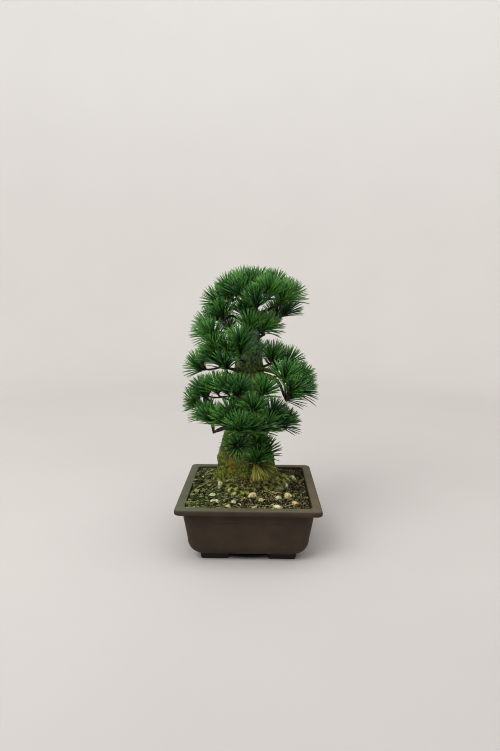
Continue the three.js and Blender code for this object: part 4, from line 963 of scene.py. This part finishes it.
def tuft_paths(heart, axis, rng, full, bundles, lift, spread):
    """Paths of a shoot's needles, four points each. Bundle k leaves the shoot k golden angles round it,
    the first ones forward and the last ones backward, and bends out from the shoot's own direction.
    A bundle's five needles part towards their tips, on a curve (1-t)^2 a + 2t(1-t) b + t^2 c."""
    rank = (np.arange(bundles) + 0.5) / bundles
    polar = np.arccos(0.995 - spread * rank) + rng.normal(0, 0.05, bundles)
    turn = GOLDEN_ANGLE * np.arange(bundles) + rng.uniform(-0.3, 0.3, bundles)
    side = unit(np.cross(axis, [0.31, 0.22, -0.92]))
    out = np.cos(turn)[:, None] * side + np.sin(turn)[:, None] * np.cross(axis, side)
    aim = unit(np.cos(polar)[:, None] * axis + np.sin(polar)[:, None] * out + [0, 0, lift])
    reach = needle_reach(heart, aim, full)
    keep = reach > 13
    rank, out, aim, reach = rank[keep], out[keep], aim[keep], reach[keep] * rng.uniform(0.88, 1, keep.sum())
    root = heart + axis * (4 - 14 * rank)[:, None] + 1.7 * out
    tip = heart + aim * reach[:, None]
    fan = rng.uniform(0, 2 * np.pi, (len(tip), 1)) + np.arange(5) * 2 * np.pi / 5
    first = unit(np.cross(aim, [0.2, 0.9, 0.37]))[:, None]
    second = np.cross(aim[:, None], first)
    part = np.cos(fan)[..., None] * first + np.sin(fan)[..., None] * second
    part = part * rng.uniform(0.3, 0.85, fan.shape)[..., None]
    stretch = aim[:, None] * rng.uniform(-2.5, 0, fan.shape)[..., None]
    end = tip[:, None] + (part + stretch) * (reach / full)[:, None, None] - [0, 0, 0.8]
    start = root[:, None] + 0.12 * part
    bend = start + 0.5 * (end - start) + 0.1 * reach[:, None, None] * axis + 0.3 * part
    t = np.linspace(0, 1, 4)[:, None]
    paths = (1 - t) ** 2 * start[:, :, None] + 2 * t * (1 - t) * bend[:, :, None] + t**2 * end[:, :, None]
    return paths.reshape(-1, 4, 3)


def twig_skin(start, leave, base, axis, number):
    """Twig and bud as one tube: the twig is a cubic curve that leaves the fork and arrives along the
    shoot, and the bud is the tube's end, swelling and closing as a half ellipse."""
    slope = 1.05 * np.linalg.norm(base - start)
    twig = curve(np.linspace(0, 1, 14)[:, None], start, slope * leave, base, slope * axis)
    rise = np.array([2, 4, 5.5, 7, 8.5, 9.7, 10.4])
    path = np.concatenate([twig, base + axis * rise[:, None]])
    radius = np.concatenate([np.linspace(2.3, 1.7, 14), [1.6, 1.8, 2.2, 2.3, 1.9, 1.1, 0.2]])
    ring = tube_rings(path, radius, 8)
    ring = ring + unit(ring - path[:, None]) * (0.3 * lumps(ring, 2.5, number))[..., None]
    bud = np.repeat(np.clip((np.arange(21) - 14) / 3, 0, 1), 8)
    return skin(ring), bud


# Bark of young twigs: grey-brown, rough with the scars of old needles. The buds are pale brown scales.
twig_bark, node, to_shader, where = new_finish("young_pine_twig_bark", 0.8)
bud = node("Attribute", out="Fac", attribute_name="bud")
scars = node("TexNoise", {"Vector": where, "Scale": per(2.5), "Detail": 4.0})
tint = node("ValToRGB", {0: scars}, [(0.3, "#1d170e"), (0.7, "#463c2c")])
scales = node("ValToRGB", {0: scars}, [(0.3, "#6a4d2c"), (0.7, "#b59b6c")])
coloured = node("Mix", {0: bud, 6: tint, 7: scales}, data_type="RGBA")
bump = node("Bump", {"Height": scars, "Strength": 0.8, "Distance": 0.0006})
to_shader({"Base Color": coloured, "Normal": bump})


def needle_finish(name, colours, warm, cool):
    """Needles: waxy, with a soft gloss. The colour runs from the sheath to the tip, darkest near the sheath,
    and leans to the warm or the cool tint by a draw for each bundle and each shoot."""
    finish, node, to_shader, _ = new_finish(name, 0.34, 0.55)
    along, tone = (node("Attribute", out="Fac", attribute_name=key) for key in ("along", "tone"))
    body = node("ValToRGB", {0: along}, colours)
    high = node("MapRange", {"Value": tone, "From Min": 0.45, "From Max": 1.0, "To Max": 0.85})
    warmed = node("Mix", {0: high, 6: body, 7: warm}, data_type="RGBA")
    low = node("MapRange", {"Value": tone, "From Min": 0.5, "From Max": 0.0, "To Max": 0.8})
    cooled = node("Mix", {0: low, 6: warmed, 7: cool}, data_type="RGBA")
    to_shader({"Base Color": cooled})
    return finish


# Green needles: brown at the sheath, then near black green up to about a fifth of their length as painted
# shade for the shadow deep in the tuft, lighter towards the tips.
green_needles = needle_finish(
    "waxy_green_pine_needles",
    [(0.0, "#191709"), (0.22, "#0e2f12"), (0.6, "#226222"), (0.92, "#458b38"), (1.0, "#759246")],
    "#5f9a2c", "#0c3420")
yellow_needles = needle_finish(
    "dying_yellow_pine_needles", [(0.0, "#5a5226"), (0.3, "#8c8c34"), (0.8, "#b4b448"), (1.0, "#b8a45a")],
    "#b6b648", "#36521f")

for order, name in enumerate(SPRAYS):
    forward, root, start, bases, axes = laid_shoots(name)
    old = name == "old_needles"
    twigs, buds, needles, tones = [], [], [], []
    if len(bases) > 1:
        stem = root + forward * np.linspace(0, 7, 6)[:, None]
        twigs.append(skin(tube_rings(stem, np.full(6, LIMB_TIP), 8)))
        buds.append(np.zeros(48))
    for number, (base, axis) in enumerate(zip(bases, axes)):
        leave = unit(unit(base - start) + 0.3 * forward) if len(bases) > 1 else forward
        twig, bud_share = twig_skin(start, leave, base, axis, 10 * order + number)
        twigs.append(twig)
        buds.append(bud_share)
        rng = np.random.default_rng(1000 + 10 * order + number)
        paths = tuft_paths(base + BUD_HEART * axis, axis, rng, **(OLD if old else GREEN))
        needles.append(tubes(paths, rng.uniform(0.4, 0.5) * NEEDLE_TAPER, 3))
        tone = OLD_TONES[number] if old else rng.normal(0, 0.12)
        bundle_tone = np.repeat(rng.uniform(0.05, 0.95, len(paths) // 5), 5)
        tone = tone + bundle_tone + rng.uniform(-0.1, 0.1, len(paths))
        tones.append(np.repeat(np.clip(tone, 0, 1), 12))
    twig_mesh = make_mesh(name + "_twigs", *joined(*twigs), bud=np.concatenate(buds))
    place_piece(twig_mesh, twig_bark, "bark", name)
    tone = np.concatenate(tones)
    along = np.tile(np.repeat([0, 1 / 3, 2 / 3, 1], 3), len(tone) // 12)
    needle_mesh = make_mesh(name + "_bundles", *joined(*needles), tone=tone, along=along)
    finish, slot = (yellow_needles, "old_needles") if old else (green_needles, "needles")
    place_piece(needle_mesh, finish, slot, name)


# ---- Studio
# A pale paper cove that glows with painted light: a flat round floor that sweeps up into a wall all round. A
# large soft light hangs to the left in front, and the open sky of the studio fills in.

profile_turn = np.radians(np.linspace(0, 90, 24))
cove_radius = np.concatenate([[0.01, 0.4, 1.0, 1.6], 1.9 + 0.9 * np.sin(profile_turn), [2.8, 2.8]]) * 1000
cove_height = np.concatenate([[0, 0, 0, 0], 0.9 - 0.9 * np.cos(profile_turn), [1.6, 2.6]]) * 1000
angles = full_turn(96)
cove = np.stack([cove_radius[:, None] * np.cos(angles), cove_radius[:, None] * np.sin(angles),
                 cove_height[:, None] + 0 * angles], -1)
cove_points, cove_faces = skin(cove)
cove_mesh = make_mesh("paper_cove", cove_points, [cove_faces[0]])

# Matt grey-white paper, with faint clouds in its fibres. Painted shade darkens it under the pot, as the pot's
# shadow, and a little towards the front, and it glows with painted light, most of all at the back and high
# up.
paper, node, to_shader, where = new_finish("matt_backdrop_paper", 0.9)
fibres = node("TexNoise", {"Vector": where, "Scale": per(400), "Detail": 3.0})
tint = node("ValToRGB", {0: fibres}, [(0.3, "#bfbbb8"), (0.7, "#c2bebb")])
# Painted shadow: the paper is darkened to 0.12 in an ellipse under the pot.
under = node("VectorMath", {0: where, 1: (11.0, 10.6, 1.0)}, operation="MULTIPLY")
from_pot = node("VectorMath", {0: under}, operation="LENGTH")
under_pot_shade = node("MapRange", {"Value": from_pot, "From Min": 0.9, "From Max": 1.04, "To Min": 0.12})
# Painted shade: the paper darkens to 0.8 towards the front.
back = node("SeparateXYZ", {0: where}, out="Y")
front = node("MapRange", {"Value": back, "From Min": -0.75, "From Max": -0.15, "To Min": 0.8})
painted_shade = node("Math", {0: under_pot_shade, 1: front}, operation="MULTIPLY")
toned = node("VectorMath", {0: tint, 3: painted_shade}, operation="SCALE")
# Painted light: the paper glows, more the further out and the further back it lies, and this glow also lights
# the scene.
distance = node("VectorMath", {0: where}, operation="LENGTH")
glow = node("MapRange", {"Value": distance, "From Max": 4.0})
painted_glow_colour = node("ValToRGB", {0: glow}, [(0.05, "#000000"), (0.3, "#514f4d"), (0.7, "#7f7d7b"),
                                          (0.95, "#a2a3a2")])
behind = node("MapRange", {"Value": back, "From Min": -1.4, "From Max": 0.8, "To Min": 0.15})
painted_glow = node("VectorMath", {0: painted_glow_colour, 3: behind}, operation="SCALE")
to_shader({"Base Color": toned, "Emission Color": painted_glow, "Emission Strength": 1.0})
cove_mesh.materials.append(paper)
cove_piece = bpy.data.objects.new("paper_cove", cove_mesh)
bpy.context.scene.collection.objects.link(cove_piece)


def soft_light(name, place, aim_at, size, power, colour):
    """A square softbox at a place, facing another place."""
    light = bpy.data.objects.new(name, bpy.data.lights.new(name, "AREA"))
    light.data.size, light.data.energy, light.data.color = size, power, linear(colour)[:3]
    away = (np.array(place) - np.array(aim_at)).tolist()
    light.matrix_world = Matrix.Translation(place) @ Vector(away).to_track_quat("Z", "Y").to_matrix().to_4x4()
    bpy.context.scene.collection.objects.link(light)


soft_light("window_left", (-1.2, -1.5, 2.0), (0, 0, 0.25), 1.4, 40, "#ffffff")
soft_light("top_bounce", (0.1, -0.7, 2.5), (0, 0, 0.1), 2.2, 29, "#ffffff")

world = bpy.data.worlds.new("studio")
world.use_nodes = True
world.node_tree.nodes["Background"].inputs["Color"].default_value = linear("#f4f3f1")
world.node_tree.nodes["Background"].inputs["Strength"].default_value = 0.8
bpy.context.scene.world = world
bpy.context.scene.view_settings.view_transform = "Standard"
bpy.context.scene.cycles.filter_width = 1.0

camera = bpy.data.objects.new("camera", bpy.data.cameras.new("camera"))
camera.data.sensor_width = 36
camera.data.lens = 25.65  # 535.1 pixels of focal length, for 751 pixels of height
camera.data.clip_start = 0.02
camera.matrix_world = (Matrix.Translation((0.01768, -1.01706, 0.4702))
                       @ Matrix.Rotation(math.radians(1.01), 4, "Z")
                       @ Matrix.Rotation(math.radians(90 - 8.1), 4, "X")
                       @ Matrix.Rotation(math.radians(0.33), 4, "Z"))
bpy.context.scene.collection.objects.link(camera)
bpy.context.scene.camera = camera

bpy.context.view_layer.update()
